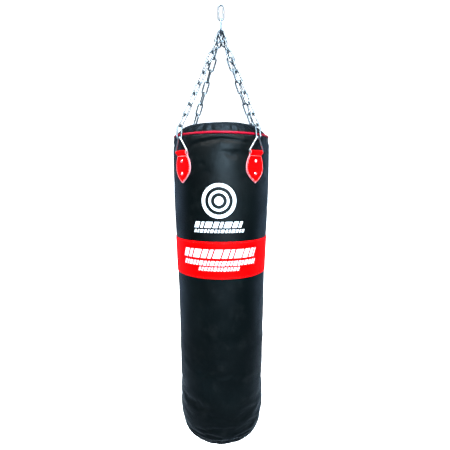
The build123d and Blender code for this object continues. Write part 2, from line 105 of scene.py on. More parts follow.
# ------------------------------------------------------------------ shader building
class Nodes:
    """Short ways to add and join shader nodes in one tree."""

    def __init__(self, tree: bpy.types.NodeTree) -> None:
        """Keep the tree."""
        self.tree = tree

    def add(self, kind: str, **values: object) -> bpy.types.Node:
        """Add a node.

        Args:
            kind: the node's type name.
            values: attributes of the node to set.

        Returns:
            The new node.
        """
        node = self.tree.nodes.new(kind)
        for key, value in values.items():
            setattr(node, key, value)
        return node

    def put(self, socket: bpy.types.NodeSocket, value: object) -> None:
        """Join a socket to another socket, or set it to a value.

        Args:
            socket: input of a node.
            value: a socket, or a plain value for the input.
        """
        if isinstance(value, bpy.types.NodeSocket):
            self.tree.links.new(value, socket)
        else:
            socket.default_value = value

    def math(self, operation: str, first: object, second: object = 0.0, clamp: bool = False) -> object:
        """Result of a Math node.

        Args:
            operation: name of the sum, as Blender gives it.
            first: first value or socket.
            second: second value or socket.
            clamp: whether the result is kept from 0 to 1.

        Returns:
            The node's result socket.
        """
        node = self.add("ShaderNodeMath", operation=operation, use_clamp=clamp)
        self.put(node.inputs[0], first)
        self.put(node.inputs[1], second)
        return node.outputs[0]

    def mix(self, share: object, first: object, second: object) -> object:
        """Result of a colour Mix node.

        Args:
            share: how much of the second colour shows.
            first: first colour or socket.
            second: second colour or socket.

        Returns:
            The mixed colour's socket.
        """
        node = self.add("ShaderNodeMix", data_type="RGBA")
        self.put(node.inputs[0], share)
        self.put(node.inputs[6], first)
        self.put(node.inputs[7], second)
        return node.outputs[2]

    def ramp(
        self, value: object, low: float, high: float, to_low: float = 0.0, to_high: float = 1.0
    ) -> object:
        """Value mapped from one range to another and clamped.

        Args:
            value: socket to map.
            low: start of the range read.
            high: end of the range read.
            to_low: start of the range given.
            to_high: end of the range given.

        Returns:
            The mapped value's socket.
        """
        node = self.add("ShaderNodeMapRange", interpolation_type="SMOOTHSTEP")
        self.put(node.inputs[0], value)
        for index, number in enumerate((low, high, to_low, to_high), start=1):
            node.inputs[index].default_value = number
        return node.outputs[0]

    def noise(self, place: object, scale: object, detail: float = 3.0, rough: float = 0.5) -> object:
        """Noise value at a place.

        Args:
            place: socket with the place.
            scale: blotches for each metre, or a socket with it.
            detail: number of finer layers.
            rough: strength of the finer layers.

        Returns:
            The noise value's socket.
        """
        node = self.add("ShaderNodeTexNoise")
        self.put(node.inputs["Vector"], place)
        self.put(node.inputs["Scale"], scale)
        node.inputs["Detail"].default_value = detail
        node.inputs["Roughness"].default_value = rough
        return node.outputs[0]


def new_group(
    name: str, inputs: dict[str, tuple[str, object]], outputs: dict[str, str]
) -> tuple[bpy.types.NodeTree, Nodes, bpy.types.Node, bpy.types.Node]:
    """Make an empty shader node group.

    Args:
        name: the group's name.
        inputs: socket name to (socket type, default).
        outputs: socket name to socket type.

    Returns:
        The group, a Nodes helper on it, its input node and its output node.
    """
    group = bpy.data.node_groups.new(name, "ShaderNodeTree")
    for key, (kind, value) in inputs.items():
        socket = group.interface.new_socket(key, in_out="INPUT", socket_type=kind)
        if value is not None:
            socket.default_value = value
    for key, kind in outputs.items():
        group.interface.new_socket(key, in_out="OUTPUT", socket_type=kind)
    tools = Nodes(group)
    return group, tools, tools.add("NodeGroupInput"), tools.add("NodeGroupOutput")


def leather_grain_group() -> bpy.types.NodeTree:
    """Pebbled hide: cells with fine creases, soft lumps and rubbed high spots.

    Returns:
        The shader group.
    """
    group, tools, source, result = new_group(
        "leather_grain",
        {
            "Place": ("NodeSocketVector", None),
            "Grain Scale": ("NodeSocketFloat", 420.0),
            "Crease Depth": ("NodeSocketFloat", 0.6),
            "Rub": ("NodeSocketFloat", 0.5),
        },
        {"Height": "NodeSocketFloat", "Rubbed": "NodeSocketFloat", "Cloud": "NodeSocketFloat"},
    )
    place = source.outputs["Place"]
    cells = tools.add("ShaderNodeTexVoronoi", feature="DISTANCE_TO_EDGE")
    tools.put(cells.inputs["Vector"], place)
    tools.put(cells.inputs["Scale"], source.outputs["Grain Scale"])
    cells.inputs["Randomness"].default_value = 0.9
    pebble = tools.ramp(cells.outputs["Distance"], 0.0, 0.28)
    fine = tools.noise(place, tools.math("MULTIPLY", source.outputs["Grain Scale"], 2.2), 3.0, 0.6)
    creases = tools.noise(place, tools.math("MULTIPLY", source.outputs["Grain Scale"], 0.14), 4.0, 0.62)
    fold = tools.ramp(tools.math("ABSOLUTE", tools.math("SUBTRACT", creases, 0.5)), 0.0, 0.05)
    height = tools.math("MULTIPLY", pebble, 0.55)
    height = tools.math("ADD", height, tools.math("MULTIPLY", fine, 0.25))
    height = tools.math("ADD", height, tools.math("MULTIPLY", fold, source.outputs["Crease Depth"]))
    cloud = tools.noise(place, 7.0, 4.0, 0.55)
    wide = tools.ramp(tools.noise(place, 3.1, 2.0, 0.5), 0.42, 0.68)
    rubbed = tools.math("MULTIPLY", tools.math("MULTIPLY", pebble, wide), source.outputs["Rub"])
    tools.put(result.inputs["Height"], height)
    tools.put(result.inputs["Rubbed"], rubbed)
    tools.put(result.inputs["Cloud"], cloud)
    return group


def dust_group() -> bpy.types.NodeTree:
    """Light dust that settles in patches.

    Returns:
        The shader group.
    """
    group, tools, source, result = new_group(
        "settled_dust",
        {"Place": ("NodeSocketVector", None), "Amount": ("NodeSocketFloat", 0.3)},
        {"Dust": "NodeSocketFloat"},
    )
    patches = tools.ramp(tools.noise(source.outputs["Place"], 16.0, 6.0, 0.7), 0.5, 0.75)
    specks = tools.ramp(tools.noise(source.outputs["Place"], 260.0, 2.0, 0.5), 0.62, 0.72)
    both = tools.math("ADD", tools.math("MULTIPLY", patches, 0.6), tools.math("MULTIPLY", specks, 0.4))
    tools.put(result.inputs["Dust"], tools.math("MULTIPLY", both, source.outputs["Amount"]))
    return group


def handled_metal_group() -> bpy.types.NodeTree:
    """Plated wire: fine drawing lines, dull patches and small scratches.

    Returns:
        The shader group.
    """
    group, tools, source, result = new_group(
        "handled_metal",
        {
            "Place": ("NodeSocketVector", None),
            "Scale": ("NodeSocketFloat", 300.0),
            "Tarnish": ("NodeSocketFloat", 0.4),
        },
        {"Dull": "NodeSocketFloat", "Height": "NodeSocketFloat", "Stain": "NodeSocketFloat"},
    )
    place = source.outputs["Place"]
    blotches = tools.noise(place, tools.math("MULTIPLY", source.outputs["Scale"], 0.22), 4.0, 0.6)
    patch = tools.ramp(blotches, 0.38, 0.7)
    scratch = tools.noise(place, tools.math("MULTIPLY", source.outputs["Scale"], 3.5), 2.0, 0.7)
    lines = tools.ramp(tools.math("ABSOLUTE", tools.math("SUBTRACT", scratch, 0.5)), 0.0, 0.03)
    tools.put(result.inputs["Dull"], patch)
    height = tools.math("ADD", tools.math("MULTIPLY", scratch, 0.6), tools.math("MULTIPLY", lines, 0.3))
    tools.put(result.inputs["Height"], height)
    tools.put(result.inputs["Stain"], tools.math("MULTIPLY", patch, source.outputs["Tarnish"]))
    return group


def weave_group() -> bpy.types.NodeTree:
    """Plain weave of threads, as a height and a painted shade that darkens the hollows between threads.

    Returns:
        The shader group.
    """
    group, tools, source, result = new_group(
        "plain_weave",
        {"Place": ("NodeSocketVector", None), "Threads": ("NodeSocketFloat", 900.0)},
        {"Height": "NodeSocketFloat", "Shade": "NodeSocketFloat"},
    )
    split = tools.add("ShaderNodeSeparateXYZ")
    tools.put(split.inputs[0], source.outputs["Place"])
    around = tools.math("ARCTAN2", split.outputs[1], split.outputs[0])
    turns = tools.math("MULTIPLY", source.outputs["Threads"], 0.17)
    warp = tools.math("SINE", tools.math("MULTIPLY", around, turns))
    weft = tools.math("SINE", tools.math("MULTIPLY", split.outputs[2], source.outputs["Threads"]))
    height = tools.math("MULTIPLY", warp, weft)
    tools.put(result.inputs["Height"], height)
    # Painted shade: the low spots between threads get a darker share.
    tools.put(result.inputs["Shade"], tools.ramp(height, -1.0, 1.0, 0.75, 1.0))
    return group


GROUPS = {
    "leather_grain": leather_grain_group(),
    "settled_dust": dust_group(),
    "handled_metal": handled_metal_group(),
    "plain_weave": weave_group(),
}


def start_material(name: str) -> tuple[bpy.types.Material, Nodes, bpy.types.Node, object]:
    """Make a material with one Principled shader.

    Args:
        name: the material's name.

    Returns:
        The material, its Nodes helper, the Principled node and the object coordinates.
    """
    material = bpy.data.materials.new(name)
    material.use_nodes = True
    material.node_tree.nodes.clear()
    tools = Nodes(material.node_tree)
    shader = tools.add("ShaderNodeBsdfPrincipled")
    output = tools.add("ShaderNodeOutputMaterial")
    tools.put(output.inputs["Surface"], shader.outputs[0])
    place = tools.add("ShaderNodeTexCoord").outputs["Object"]
    return material, tools, shader, place


def place_group(tools: Nodes, name: str, **values: object) -> bpy.types.Node:
    """Put one of the shared groups in a material and set its inputs.

    Args:
        tools: helper of the tree that is being built.
        name: the group's name.
        values: the group's inputs, with a space written as an underscore.

    Returns:
        The placed group node.
    """
    node = tools.add("ShaderNodeGroup")
    node.node_tree = GROUPS[name]
    for key, value in values.items():
        tools.put(node.inputs[key.replace("_", " ")], value)
    return node


def bump(tools: Nodes, shader: bpy.types.Node, height: object, strength: float, distance: float) -> None:
    """Feed a height through a Bump node to the shader's normal.

    Args:
        tools: helper of the tree that is being built.
        shader: node whose normal is set.
        height: socket with the height.
        strength: share of the full effect.
        distance: depth that a height of 1 stands for.
    """
    node = tools.add("ShaderNodeBump")
    node.inputs["Strength"].default_value = strength
    node.inputs["Distance"].default_value = distance
    tools.put(node.inputs["Height"], height)
    tools.put(shader.inputs["Normal"], node.outputs[0])


DUST_COLOUR = (0.45, 0.44, 0.42)


@dataclass(frozen=True)
class LeatherFinish:
    """Dyed and polished hide."""

    name: str
    colour: Colour
    worn_colour: Colour
    roughness: float = 0.4
    grain_scale: float = 420.0
    crease_depth: float = 0.5
    relief: float = 0.0005
    dust: float = 0.1
    gloss: float = 0.07
    rub: float = 0.7
    shade: float = 0.55

    def make(self) -> bpy.types.Material:
        """Build the material.

        Returns:
            The material.
        """
        material, tools, shader, place = start_material(self.name)
        grain = place_group(
            tools, "leather_grain", Place=place, Grain_Scale=self.grain_scale,
            Crease_Depth=self.crease_depth, Rub=self.rub,
        )
        dust = place_group(tools, "settled_dust", Place=place, Amount=self.dust)
        tint = tools.ramp(grain.outputs["Cloud"], 0.3, 0.7, 0.0, 0.35)
        darker = [part * self.shade for part in self.colour]
        colour = tools.mix(tint, (*self.colour, 1), (*darker, 1))
        colour = tools.mix(grain.outputs["Rubbed"], colour, (*self.worn_colour, 1))
        colour = tools.mix(dust.outputs["Dust"], colour, (*DUST_COLOUR, 1))
        tools.put(shader.inputs["Base Color"], colour)
        rough = tools.ramp(grain.outputs["Cloud"], 0.3, 0.7, self.roughness - 0.06, self.roughness + 0.08)
        rough = tools.math("ADD", rough, tools.math("MULTIPLY", dust.outputs["Dust"], 0.4))
        tools.put(shader.inputs["Roughness"], rough)
        shader.inputs["Specular IOR Level"].default_value = self.gloss
        bump(tools, shader, grain.outputs["Height"], 0.35, self.relief)
        return material


@dataclass(frozen=True)
class MetalFinish:
    """Plated or bare metal wire and studs."""

    name: str
    colour: Colour
    stain_colour: Colour
    roughness: float
    scale: float = 300.0
    tarnish: float = 0.4

    def make(self) -> bpy.types.Material:
        """Build the material.

        Returns:
            The material.
        """
        material, tools, shader, place = start_material(self.name)
        marks = place_group(tools, "handled_metal", Place=place, Scale=self.scale, Tarnish=self.tarnish)
        colour = tools.mix(marks.outputs["Stain"], (*self.colour, 1), (*self.stain_colour, 1))
        tools.put(shader.inputs["Base Color"], colour)
        shader.inputs["Metallic"].default_value = 1.0
        rough = tools.ramp(marks.outputs["Dull"], 0.0, 1.0, self.roughness, self.roughness + 0.2)
        tools.put(shader.inputs["Roughness"], rough)
        bump(tools, shader, marks.outputs["Height"], 0.25, 0.0002)
        return material


@dataclass(frozen=True)
class ClothFinish:
    """Canvas, foam skin, cuttings, thread or ink: a matt surface with a weave or a pore."""

    name: str
    colour: Colour
    # Darker colour for the painted shade between threads, also used as the dust colour.
    painted_shade_and_dust_colour: Colour
    roughness: float = 0.85
    threads: float = 900.0
    relief: float = 0.0003

    def make(self) -> bpy.types.Material:
        """Build the material.

        Returns:
            The material.
        """
        material, tools, shader, place = start_material(self.name)
        weave = place_group(tools, "plain_weave", Place=place, Threads=self.threads)
        dust = place_group(tools, "settled_dust", Place=place, Amount=0.3)
        # Painted shade: the hollows between threads lean towards the darker colour, and dust takes the same
        # darker colour.
        colour = tools.mix(weave.outputs["Shade"], (*self.painted_shade_and_dust_colour, 1), (*self.colour, 1))
        colour = tools.mix(dust.outputs["Dust"], colour, (*self.painted_shade_and_dust_colour, 1))
        tools.put(shader.inputs["Base Color"], colour)
        shader.inputs["Roughness"].default_value = self.roughness
        bump(tools, shader, weave.outputs["Height"], 0.4, self.relief)
        return material


@dataclass(frozen=True)
class InkFinish:
    """White screen print that lets the hide's grain through."""

    name: str
    colour: Colour
    worn_colour: Colour

    def make(self) -> bpy.types.Material:
        """Build the material.

        Returns:
            The material.
        """
        material, tools, shader, place = start_material(self.name)
        grain = place_group(tools, "leather_grain", Place=place, Grain_Scale=420.0, Crease_Depth=0.5, Rub=0.4)
        fade = tools.ramp(grain.outputs["Cloud"], 0.45, 0.75, 0.0, 0.25)
        tools.put(shader.inputs["Base Color"], tools.mix(fade, (*self.colour, 1), (*self.worn_colour, 1)))
        tools.put(shader.inputs["Roughness"], tools.ramp(grain.outputs["Cloud"], 0.3, 0.7, 0.42, 0.6))
        bump(tools, shader, grain.outputs["Height"], 0.35, 0.0003)
        return material


class Finish(Enum):
    """Every finish on the bag."""

    BLACK_HIDE = LeatherFinish(
        "black_hide", (0.0006, 0.0014, 0.0015), (0.004, 0.0065, 0.007), roughness=0.42, dust=0.01
    )
    RED_HIDE = LeatherFinish(
        "red_hide", (0.74, 0.0001, 0.0002), (0.78, 0.002, 0.002), roughness=0.55, grain_scale=520.0,
        crease_depth=0.4, relief=0.0003, dust=0.004, gloss=0.02,
    )
    PIPING_HIDE = LeatherFinish(
        "piping_hide", (0.27, 0.001, 0.012), (0.36, 0.004, 0.014), roughness=0.42, grain_scale=600.0,
        crease_depth=0.4, relief=0.0003, dust=0.04,
    )
    CUT_EDGE = LeatherFinish(
        "cut_edge", (0.5, 0.16, 0.17), (0.6, 0.28, 0.28), roughness=0.7, grain_scale=900.0,
        crease_depth=0.3, relief=0.0003, dust=0.02,
    )
    RAW_HIDE = LeatherFinish(
        "raw_hide", (0.42, 0.28, 0.17), (0.6, 0.45, 0.3), roughness=0.75, grain_scale=700.0, crease_depth=0.4
    )
    ZINC = MetalFinish("bright_zinc", (0.22, 0.24, 0.25), (0.11, 0.125, 0.13), 0.34, 320.0, 0.6)
    RING_STEEL = MetalFinish("ring_steel", (0.42, 0.43, 0.43), (0.28, 0.28, 0.28), 0.3, 420.0, 0.3)
    NICKEL = MetalFinish("nickel", (0.86, 0.84, 0.8), (0.5, 0.47, 0.42), 0.16, 420.0, 0.3)
    PLAIN_STEEL = MetalFinish("plain_steel", (0.5, 0.5, 0.5), (0.25, 0.22, 0.2), 0.35, 320.0, 0.5)
    PALE_THREAD = ClothFinish("pale_thread", (0.8, 0.4, 0.4), (0.6, 0.22, 0.22), 0.7, 9000.0, 0.0001)
    RED_THREAD = ClothFinish("red_thread", (0.55, 0.002, 0.004), (0.3, 0.001, 0.002), 0.6, 9000.0, 0.0001)
    BLACK_THREAD = ClothFinish(
        "black_thread", (0.035, 0.036, 0.04), (0.012, 0.012, 0.014), 0.6, 9000.0, 0.0001
    )
    FOAM = ClothFinish("foam_skin", (0.72, 0.7, 0.62), (0.5, 0.48, 0.42), 0.9, 2200.0)
    CANVAS = ClothFinish("canvas", (0.6, 0.55, 0.44), (0.35, 0.31, 0.24), 0.9, 1600.0)
    CUTTINGS = ClothFinish("cuttings", (0.36, 0.36, 0.4), (0.16, 0.16, 0.19), 0.95, 500.0, 0.002)
    INK = InkFinish("white_ink", (0.6, 0.6, 0.6), (0.4, 0.4, 0.42))


_made: dict[Finish, bpy.types.Material] = {}


def finish_of(kind: Finish) -> bpy.types.Material:
    """The material of a finish, built once.

    Args:
        kind: the finish wanted.

    Returns:
        Its material, the same one at every call.
    """
    if kind not in _made:
        _made[kind] = kind.value.make()
    return _made[kind]


# ------------------------------------------------------------------ mesh building
def mesh_object(
    name: str, points: np.ndarray, faces: Sequence[Sequence[int]], kind: Finish, smooth: bool = True
) -> bpy.types.Object:
    """Make an object from points and faces, with its place in its mesh.

    Args:
        name: the piece's name.
        points: corner places, in metres.
        faces: corner numbers of each face, turned outwards.
        kind: the finish it wears.
        smooth: whether its faces are shaded smooth.

    Returns:
        The new object, linked to the scene.
    """
    mesh = bpy.data.meshes.new(name)
    mesh.from_pydata([tuple(p) for p in points], [], [tuple(f) for f in faces])
    mesh.polygons.foreach_set("use_smooth", [smooth] * len(mesh.polygons))
    mesh.materials.append(finish_of(kind))
    mesh.update()
    thing = bpy.data.objects.new(name, mesh)
    bpy.context.scene.collection.objects.link(thing)
    return thing


def ring_faces(rings: int, around: int, closed_down: bool) -> list[tuple[int, int, int, int]]:
    """Faces between rings of points that run round the Z axis from the top down.

    Args:
        rings: number of rings.
        around: points in each ring, counted towards +Y from +X.
        closed_down: whether the last ring joins the first again.

    Returns:
        The faces, turned outwards where the rings run down the outside.
    """
    faces = []
    last = rings if closed_down else rings - 1
    for row in range(last):
        upper = row * around
        lower = (row + 1) % rings * around
        for column in range(around):
            following = (column + 1) % around
            faces.append((upper + column, lower + column, lower + following, upper + following))
    return faces


def closed_rings(name: str, rings: list[np.ndarray], kind: Finish) -> bpy.types.Object:
    """Piece made of rings that close on themselves, like a tube wall or a tyre."""
    points = np.concatenate(rings)
    return mesh_object(name, points, ring_faces(len(rings), len(rings[0]), True), kind)


def capped_rings(name: str, rings: list[np.ndarray], kind: Finish) -> bpy.types.Object:
    """Piece made of rings that end in a pole at both ends.

    Args:
        name: the piece's name.
        rings: rings of points, from one end to the other.
        kind: finish of the piece.

    Returns:
        The piece.
    """
    around = len(rings[0])
    faces: list[Face] = list(ring_faces(len(rings), around, False))
    points = [*rings, rings[0].mean(axis=0)[None], rings[-1].mean(axis=0)[None]]
    first = len(rings) * around
    final = first - around
    for column in range(around):
        following = (column + 1) % around
        faces.append((first, column, following))
        faces.append((first + 1, final + following, final + column))
    return mesh_object(name, np.concatenate(points), faces, kind)


def settle(piece: bpy.types.Object, body: str, slot: str, *nodes: str) -> None:
    """Ride a piece on its body and hide the CAD nodes that it stands for.

    Args:
        piece: the piece to settle.
        body: body that carries it.
        slot: not used.
        nodes: CAD nodes that it stands for.
    """
    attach(piece, body)
    if nodes:
        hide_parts(*nodes)
    log.info("%s: %d faces", piece.name, len(piece.data.polygons))


def smooth_step(value: float, low: float, high: float) -> float:
    """Rise smoothly from 0 at low to 1 at high."""
    share = min(max((value - low) / (high - low), 0.0), 1.0)
    return share * share * (3 - 2 * share)


# ------------------------------------------------------------------ cloth simulation
@dataclass(frozen=True)
class ClothFill:
    """How the filling presses a piece of hide outwards while its seams hold it."""

    pressure: float = 4.0
    grow: float = 0.02
    cap: float = 4.0 * MM
    frames: int = 20
    stiffness: float = 20.0
    bending: float = 0.6
    mass: float = 0.3

    def settle(self, points: np.ndarray, faces: Sequence[Sequence[int]], held: Sequence[int]) -> np.ndarray:
        """Simulate an open skin.

        Args:
            points: the skin's points at the start.
            faces: its faces, turned outwards.
            held: numbers of the points that the seams hold still.

        Returns:
            The points after the simulation, none moved further than the cap.
        """
        mesh = bpy.data.meshes.new("skin")
        mesh.from_pydata([tuple(p) for p in points], [], [tuple(f) for f in faces])
        skin = bpy.data.objects.new("skin", mesh)
        scene = bpy.context.scene
        scene.collection.objects.link(skin)
        skin.vertex_groups.new(name="held").add([int(number) for number in held], 1.0, "REPLACE")
        modifier = skin.modifiers.new("fill", "CLOTH")
        values = modifier.settings
        values.quality = 6
        values.mass = self.mass
        values.tension_stiffness = values.compression_stiffness = self.stiffness
        values.shear_stiffness = self.stiffness / 2
        values.bending_stiffness = self.bending
        values.use_pressure = True
        values.uniform_pressure_force = self.pressure
        values.effector_weights.gravity = 0.0
        values.vertex_group_mass = "held"
        values.shrink_min = -self.grow
        modifier.point_cache.frame_start = 1
        modifier.point_cache.frame_end = self.frames
        for frame_number in range(1, self.frames + 1):
            scene.frame_set(frame_number)
        made = bpy.data.meshes.new_from_object(skin.evaluated_get(bpy.context.evaluated_depsgraph_get()))
        moved = np.empty(len(made.vertices) * 3)
        made.vertices.foreach_get("co", moved)
        bpy.data.objects.remove(skin)
        scene.frame_set(1)
        shift = moved.reshape(-1, 3) - points
        length = np.linalg.norm(shift, axis=1)
        log.info("cloth: moved %.1f mm on average, %.1f mm at most", length.mean() / MM, length.max() / MM)
        return points + shift * np.minimum(1.0, self.cap / np.maximum(length, 1e-9))[:, None]


# ------------------------------------------------------------------ the filled bag's shape
@dataclass
class BagForm:
    """Shape of the filled leather case, with its lumps, gathers and creases."""

    waist_slim: float = 6.0 * MM
    hem_bulge: float = 2.0 * MM
    neck_pinch: float = 2.0 * MM
    neck_depth: float = 40.0 * MM
    corner_rise: float = 176.0 * MM
    corner_round: float = 5.87
    corner_drop: float = 2.74
    lump: float = 1.5 * MM
    gathers: float = 1.9 * MM
    crease: float = 3.8 * MM
    seam_gather: float = 1.6 * MM
    deepest: float = 2.3 * MM
    skin_around: int = 192
    skin_rows: int = 132
    skin: np.ndarray | None = None

    def plain_radius(self, z: float) -> float:
        """Radius of the filled case before lumps, at a height.

        Args:
            z: height in the frame, in metres.

        Returns:
            The radius, in metres.
        """
        drop = RIM_Z - z
        corner = RIM_Z - BASE_Z - self.corner_rise
        if drop <= corner:
            pinch = self.neck_pinch * (1 - smooth_step(drop, 0, self.neck_depth))
            slim = self.waist_slim * smooth_step(drop, 0.215, 0.56)
            bulge = self.hem_bulge * smooth_step(drop, corner - 0.08, corner)
            return BAG_RADIUS - pinch - slim + bulge
        depth = min((drop - corner) / self.corner_rise, 1.0)
        widest = BAG_RADIUS - self.waist_slim + self.hem_bulge
        return widest * (1 - depth**self.corner_drop) ** (1 / self.corner_round)

    def sound_radius(self, z: float) -> float:
        """Radius of the case without the pinch under the piping."""
        pinch = self.neck_pinch * (1 - smooth_step(RIM_Z - z, 0, self.neck_depth))
        return self.plain_radius(z) + pinch

    def keep_out(self, rings: list[np.ndarray], profile: list[tuple[float, float]]) -> list[np.ndarray]:
        """Push points back out where they sank towards the lining.

        Args:
            rings: rings of points round the axis, from the top down.
            profile: distance from the axis and height of each ring on the plain skin.

        Returns:
            The rings, none deeper under the plain skin than the form allows.
        """
        steps = np.gradient(np.array(profile), axis=0)
        ways = np.stack([-steps[:, 1], steps[:, 0]], axis=1) / np.linalg.norm(steps, axis=1)[:, None]
        for ring, spot, way in zip(rings, profile, ways):
            reach = np.hypot(ring[:, 0], ring[:, 1])
            depth = (spot[0] - reach) * way[0] + (spot[1] - ring[:, 2]) * way[1]
            lift = np.maximum(depth - self.deepest, 0.0)
            ring[:, :2] *= (1 + lift * way[0] / reach)[:, None]
            ring[:, 2] += lift * way[1]
        return rings

    def radius(self, angle: float, z: float) -> float:
        """Radius of the case at an angle round the bag and a height.

        Args:
            angle: round the bag from +X towards +Y, in radians.
            z: height in the frame, in metres.

        Returns:
            The radius, in metres.
        """
        drop = RIM_Z - z
        x, y = math.cos(angle), math.sin(angle)
        soft = noise.noise(Vector((x * 1.3, y * 1.3, z * 5.5)) + Vector((3.1, 0.2, 7.7)))
        middle = noise.noise(Vector((x * 3.4, y * 3.4, z * 15.0)) + Vector((9.3, 4.2, 1.7)))
        slant = noise.noise(Vector((x * 2.6 + z * 6.0, y * 2.6, z * 26.0)) + Vector((0.4, 8.8, 2.1)))
        low_part = smooth_step(drop, 0.55, 0.95)
        shift = self.lump * (0.75 * soft + 0.4 * middle)
        shift += self.lump * 0.95 * low_part * slant * abs(slant) * 3.0
        shift += self.rim_gathers(angle, drop) + self.front_crease(angle, drop) + self.tab_pull(angle, drop)
        shift += self.seam_gathers(angle, z)
        pushed = self.plain_radius(z) + shift + self.skin_shift(angle, z)
        return max(pushed, self.sound_radius(z) - self.deepest)

    def skin_shift(self, angle: float, z: float) -> float:
        """Outward move of the simulated skin at an angle and a height.

        Args:
            angle: round the bag from +X towards +Y, in radians.
            z: height in the frame, in metres.

        Returns:
            The move, in metres.
        """
        if self.skin is None or z < SEAM_Z:
            return 0.0
        row = (RIM_Z - z) / (RIM_Z - SEAM_Z) * self.skin_rows
        column = (angle / TAU % 1.0) * self.skin_around
        up, left = min(int(max(row, 0.0)), self.skin_rows - 1), int(column) % self.skin_around
        down_share, right_share = min(max(row - up, 0.0), 1.0), column - int(column)
        right = (left + 1) % self.skin_around
        upper = self.skin[up, left] * (1 - right_share) + self.skin[up, right] * right_share
        lower = self.skin[up + 1, left] * (1 - right_share) + self.skin[up + 1, right] * right_share
        return float(upper * (1 - down_share) + lower * down_share)

    def fill_skin(self) -> None:
        """Simulate the side wall between its seams, held at the rim, the tabs and the base seam."""
        heights = [RIM_Z + (SEAM_Z - RIM_Z) * row / self.skin_rows for row in range(self.skin_rows + 1)]
        rings = [ring_at(lambda a, z=z: self.radius(a, z), z, self.skin_around) for z in heights]
        points = np.concatenate(rings)
        angles = np.arctan2(points[:, 1], points[:, 0])
        still = (points[:, 2] > RIM_Z - 0.004) | (points[:, 2] < SEAM_Z + 0.004)
        for azimuth in TAB_AZIMUTHS:
            side = np.abs((angles - azimuth + math.pi) % TAU - math.pi) * BAG_RADIUS
            still |= (side < 0.03) & (points[:, 2] < RIM_Z - 0.06) & (points[:, 2] > RIM_Z - 0.15)
        faces = ring_faces(len(rings), self.skin_around, False)
        filled = ClothFill(grow=0.012, cap=3.0 * MM).settle(points, faces, np.flatnonzero(still))
        shift = np.hypot(filled[:, 0], filled[:, 1]) - np.hypot(points[:, 0], points[:, 1])
        self.skin = shift.reshape(self.skin_rows + 1, self.skin_around)

    def rim_gathers(self, angle: float, drop: float) -> float:
        """Short upright puckers where the wall is sewn to the piping.

        Args:
            angle: round the bag from +X towards +Y, in radians.
            drop: distance below the rim plane, in metres.

        Returns:
            The change of radius, in metres.
        """
        fade = math.exp(-max(drop, 0.0) / 0.026)
        if fade < 0.01:
            return 0.0
        x, y = math.cos(angle), math.sin(angle)
        fine = noise.noise(Vector((x * 15.0, y * 15.0, 2.3)))
        broad = noise.noise(Vector((x * 5.0, y * 5.0, 6.1)))
        return self.gathers * fade * (fine * 0.9 + broad * 0.7 - 0.25)

    def front_crease(self, angle: float, drop: float) -> float:
        """Long shallow fold under the piping at the front, and a few short ones elsewhere.

        Args:
            angle: round the bag from +X towards +Y, in radians.
            drop: distance below the rim plane, in metres.

        Returns:
            The change of radius, in metres.
        """
        shift = 0.0
        for centre, width, depth_z, deep in (
            (-89.0, 18.0, 0.022, 1.0), (-112.0, 8.0, 0.030, 0.45), (-60.0, 6.0, 0.027, 0.35),
            (20.0, 12.0, 0.024, 0.7), (95.0, 14.0, 0.022, 0.8), (180.0, 12.0, 0.026, 0.6),
        ):
            turn = math.degrees(angle) - centre
            turn = (turn + 180.0) % 360.0 - 180.0
            if abs(turn) > width * 2.2:
                continue
            along = math.exp(-((turn / width) ** 2))
            sag = depth_z + 0.004 * (turn / width) ** 2
            fold = math.exp(-(((drop - sag) / 0.0042) ** 2))
            roll = math.exp(-(((drop - sag + 0.010) / 0.006) ** 2))
            swell = math.exp(-(((drop - sag - 0.022) / 0.016) ** 2))
            shift += along * deep * self.crease * (0.7 * roll - fold + 0.2 * swell)
        return shift

    def tab_pull(self, angle: float, drop: float) -> float:
        """The wall lies flat behind each tab and swells a little beside it.

        Args:
            angle: round the bag from +X towards +Y, in radians.
            drop: distance below the rim plane, in metres.

        Returns:
            The change of radius, in metres.
        """
        if drop > 0.25:
            return 0.0
        shift = 0.0
        for azimuth in TAB_AZIMUTHS:
            turn = (angle - azimuth + math.pi) % TAU - math.pi
            side = abs(turn) * BAG_RADIUS
            if side < 0.11:
                height = math.exp(-(((drop - 0.105) / 0.07) ** 2))
                flat = math.exp(-((side / 0.042) ** 4))
                swell = math.exp(-(((side - 0.066) / 0.02) ** 2))
                shift += height * (-1.2 * MM * flat + 1.0 * MM * swell)
        return shift

    def seam_gathers(self, angle: float, z: float) -> float:
        """Gathers that the base seam pulls into the hide.

        Args:
            angle: round the bag from +X towards +Y, in radians.
            z: height in the frame, in metres.

        Returns:
            The change of radius, in metres.
        """
        fade = math.exp(-abs(z - SEAM_Z) / 0.02)
        if fade < 0.01:
            return 0.0
        x, y = math.cos(angle), math.sin(angle)
        fine = noise.noise(Vector((x * 12.0, y * 12.0, 4.4)))
        groove = math.exp(-(((z - SEAM_Z) / 0.0028) ** 2))
        return self.seam_gather * fade * (fine * 1.1 - 0.2) - 1.6 * MM * groove


FORM = BagForm()
TAB_AZIMUTHS = [azimuth_of(f"tab_rivets_{side}") for side in TAB_SIDES]


def ring_at(radius: Callable[[float], float], z: float, around: int) -> np.ndarray:
    """One ring of points round the Z axis, counted towards +Y from +X.

    Args:
        radius: the ring's radius by angle.
        z: height in the frame, in metres.
        around: points in the ring.

    Returns:
        One row of x, y and z for each point.
    """
    points = []
    for column in range(around):
        angle = TAU * column / around
        r = radius(angle)
        points.append((r * math.cos(angle), r * math.sin(angle), z))
    return np.array(points)


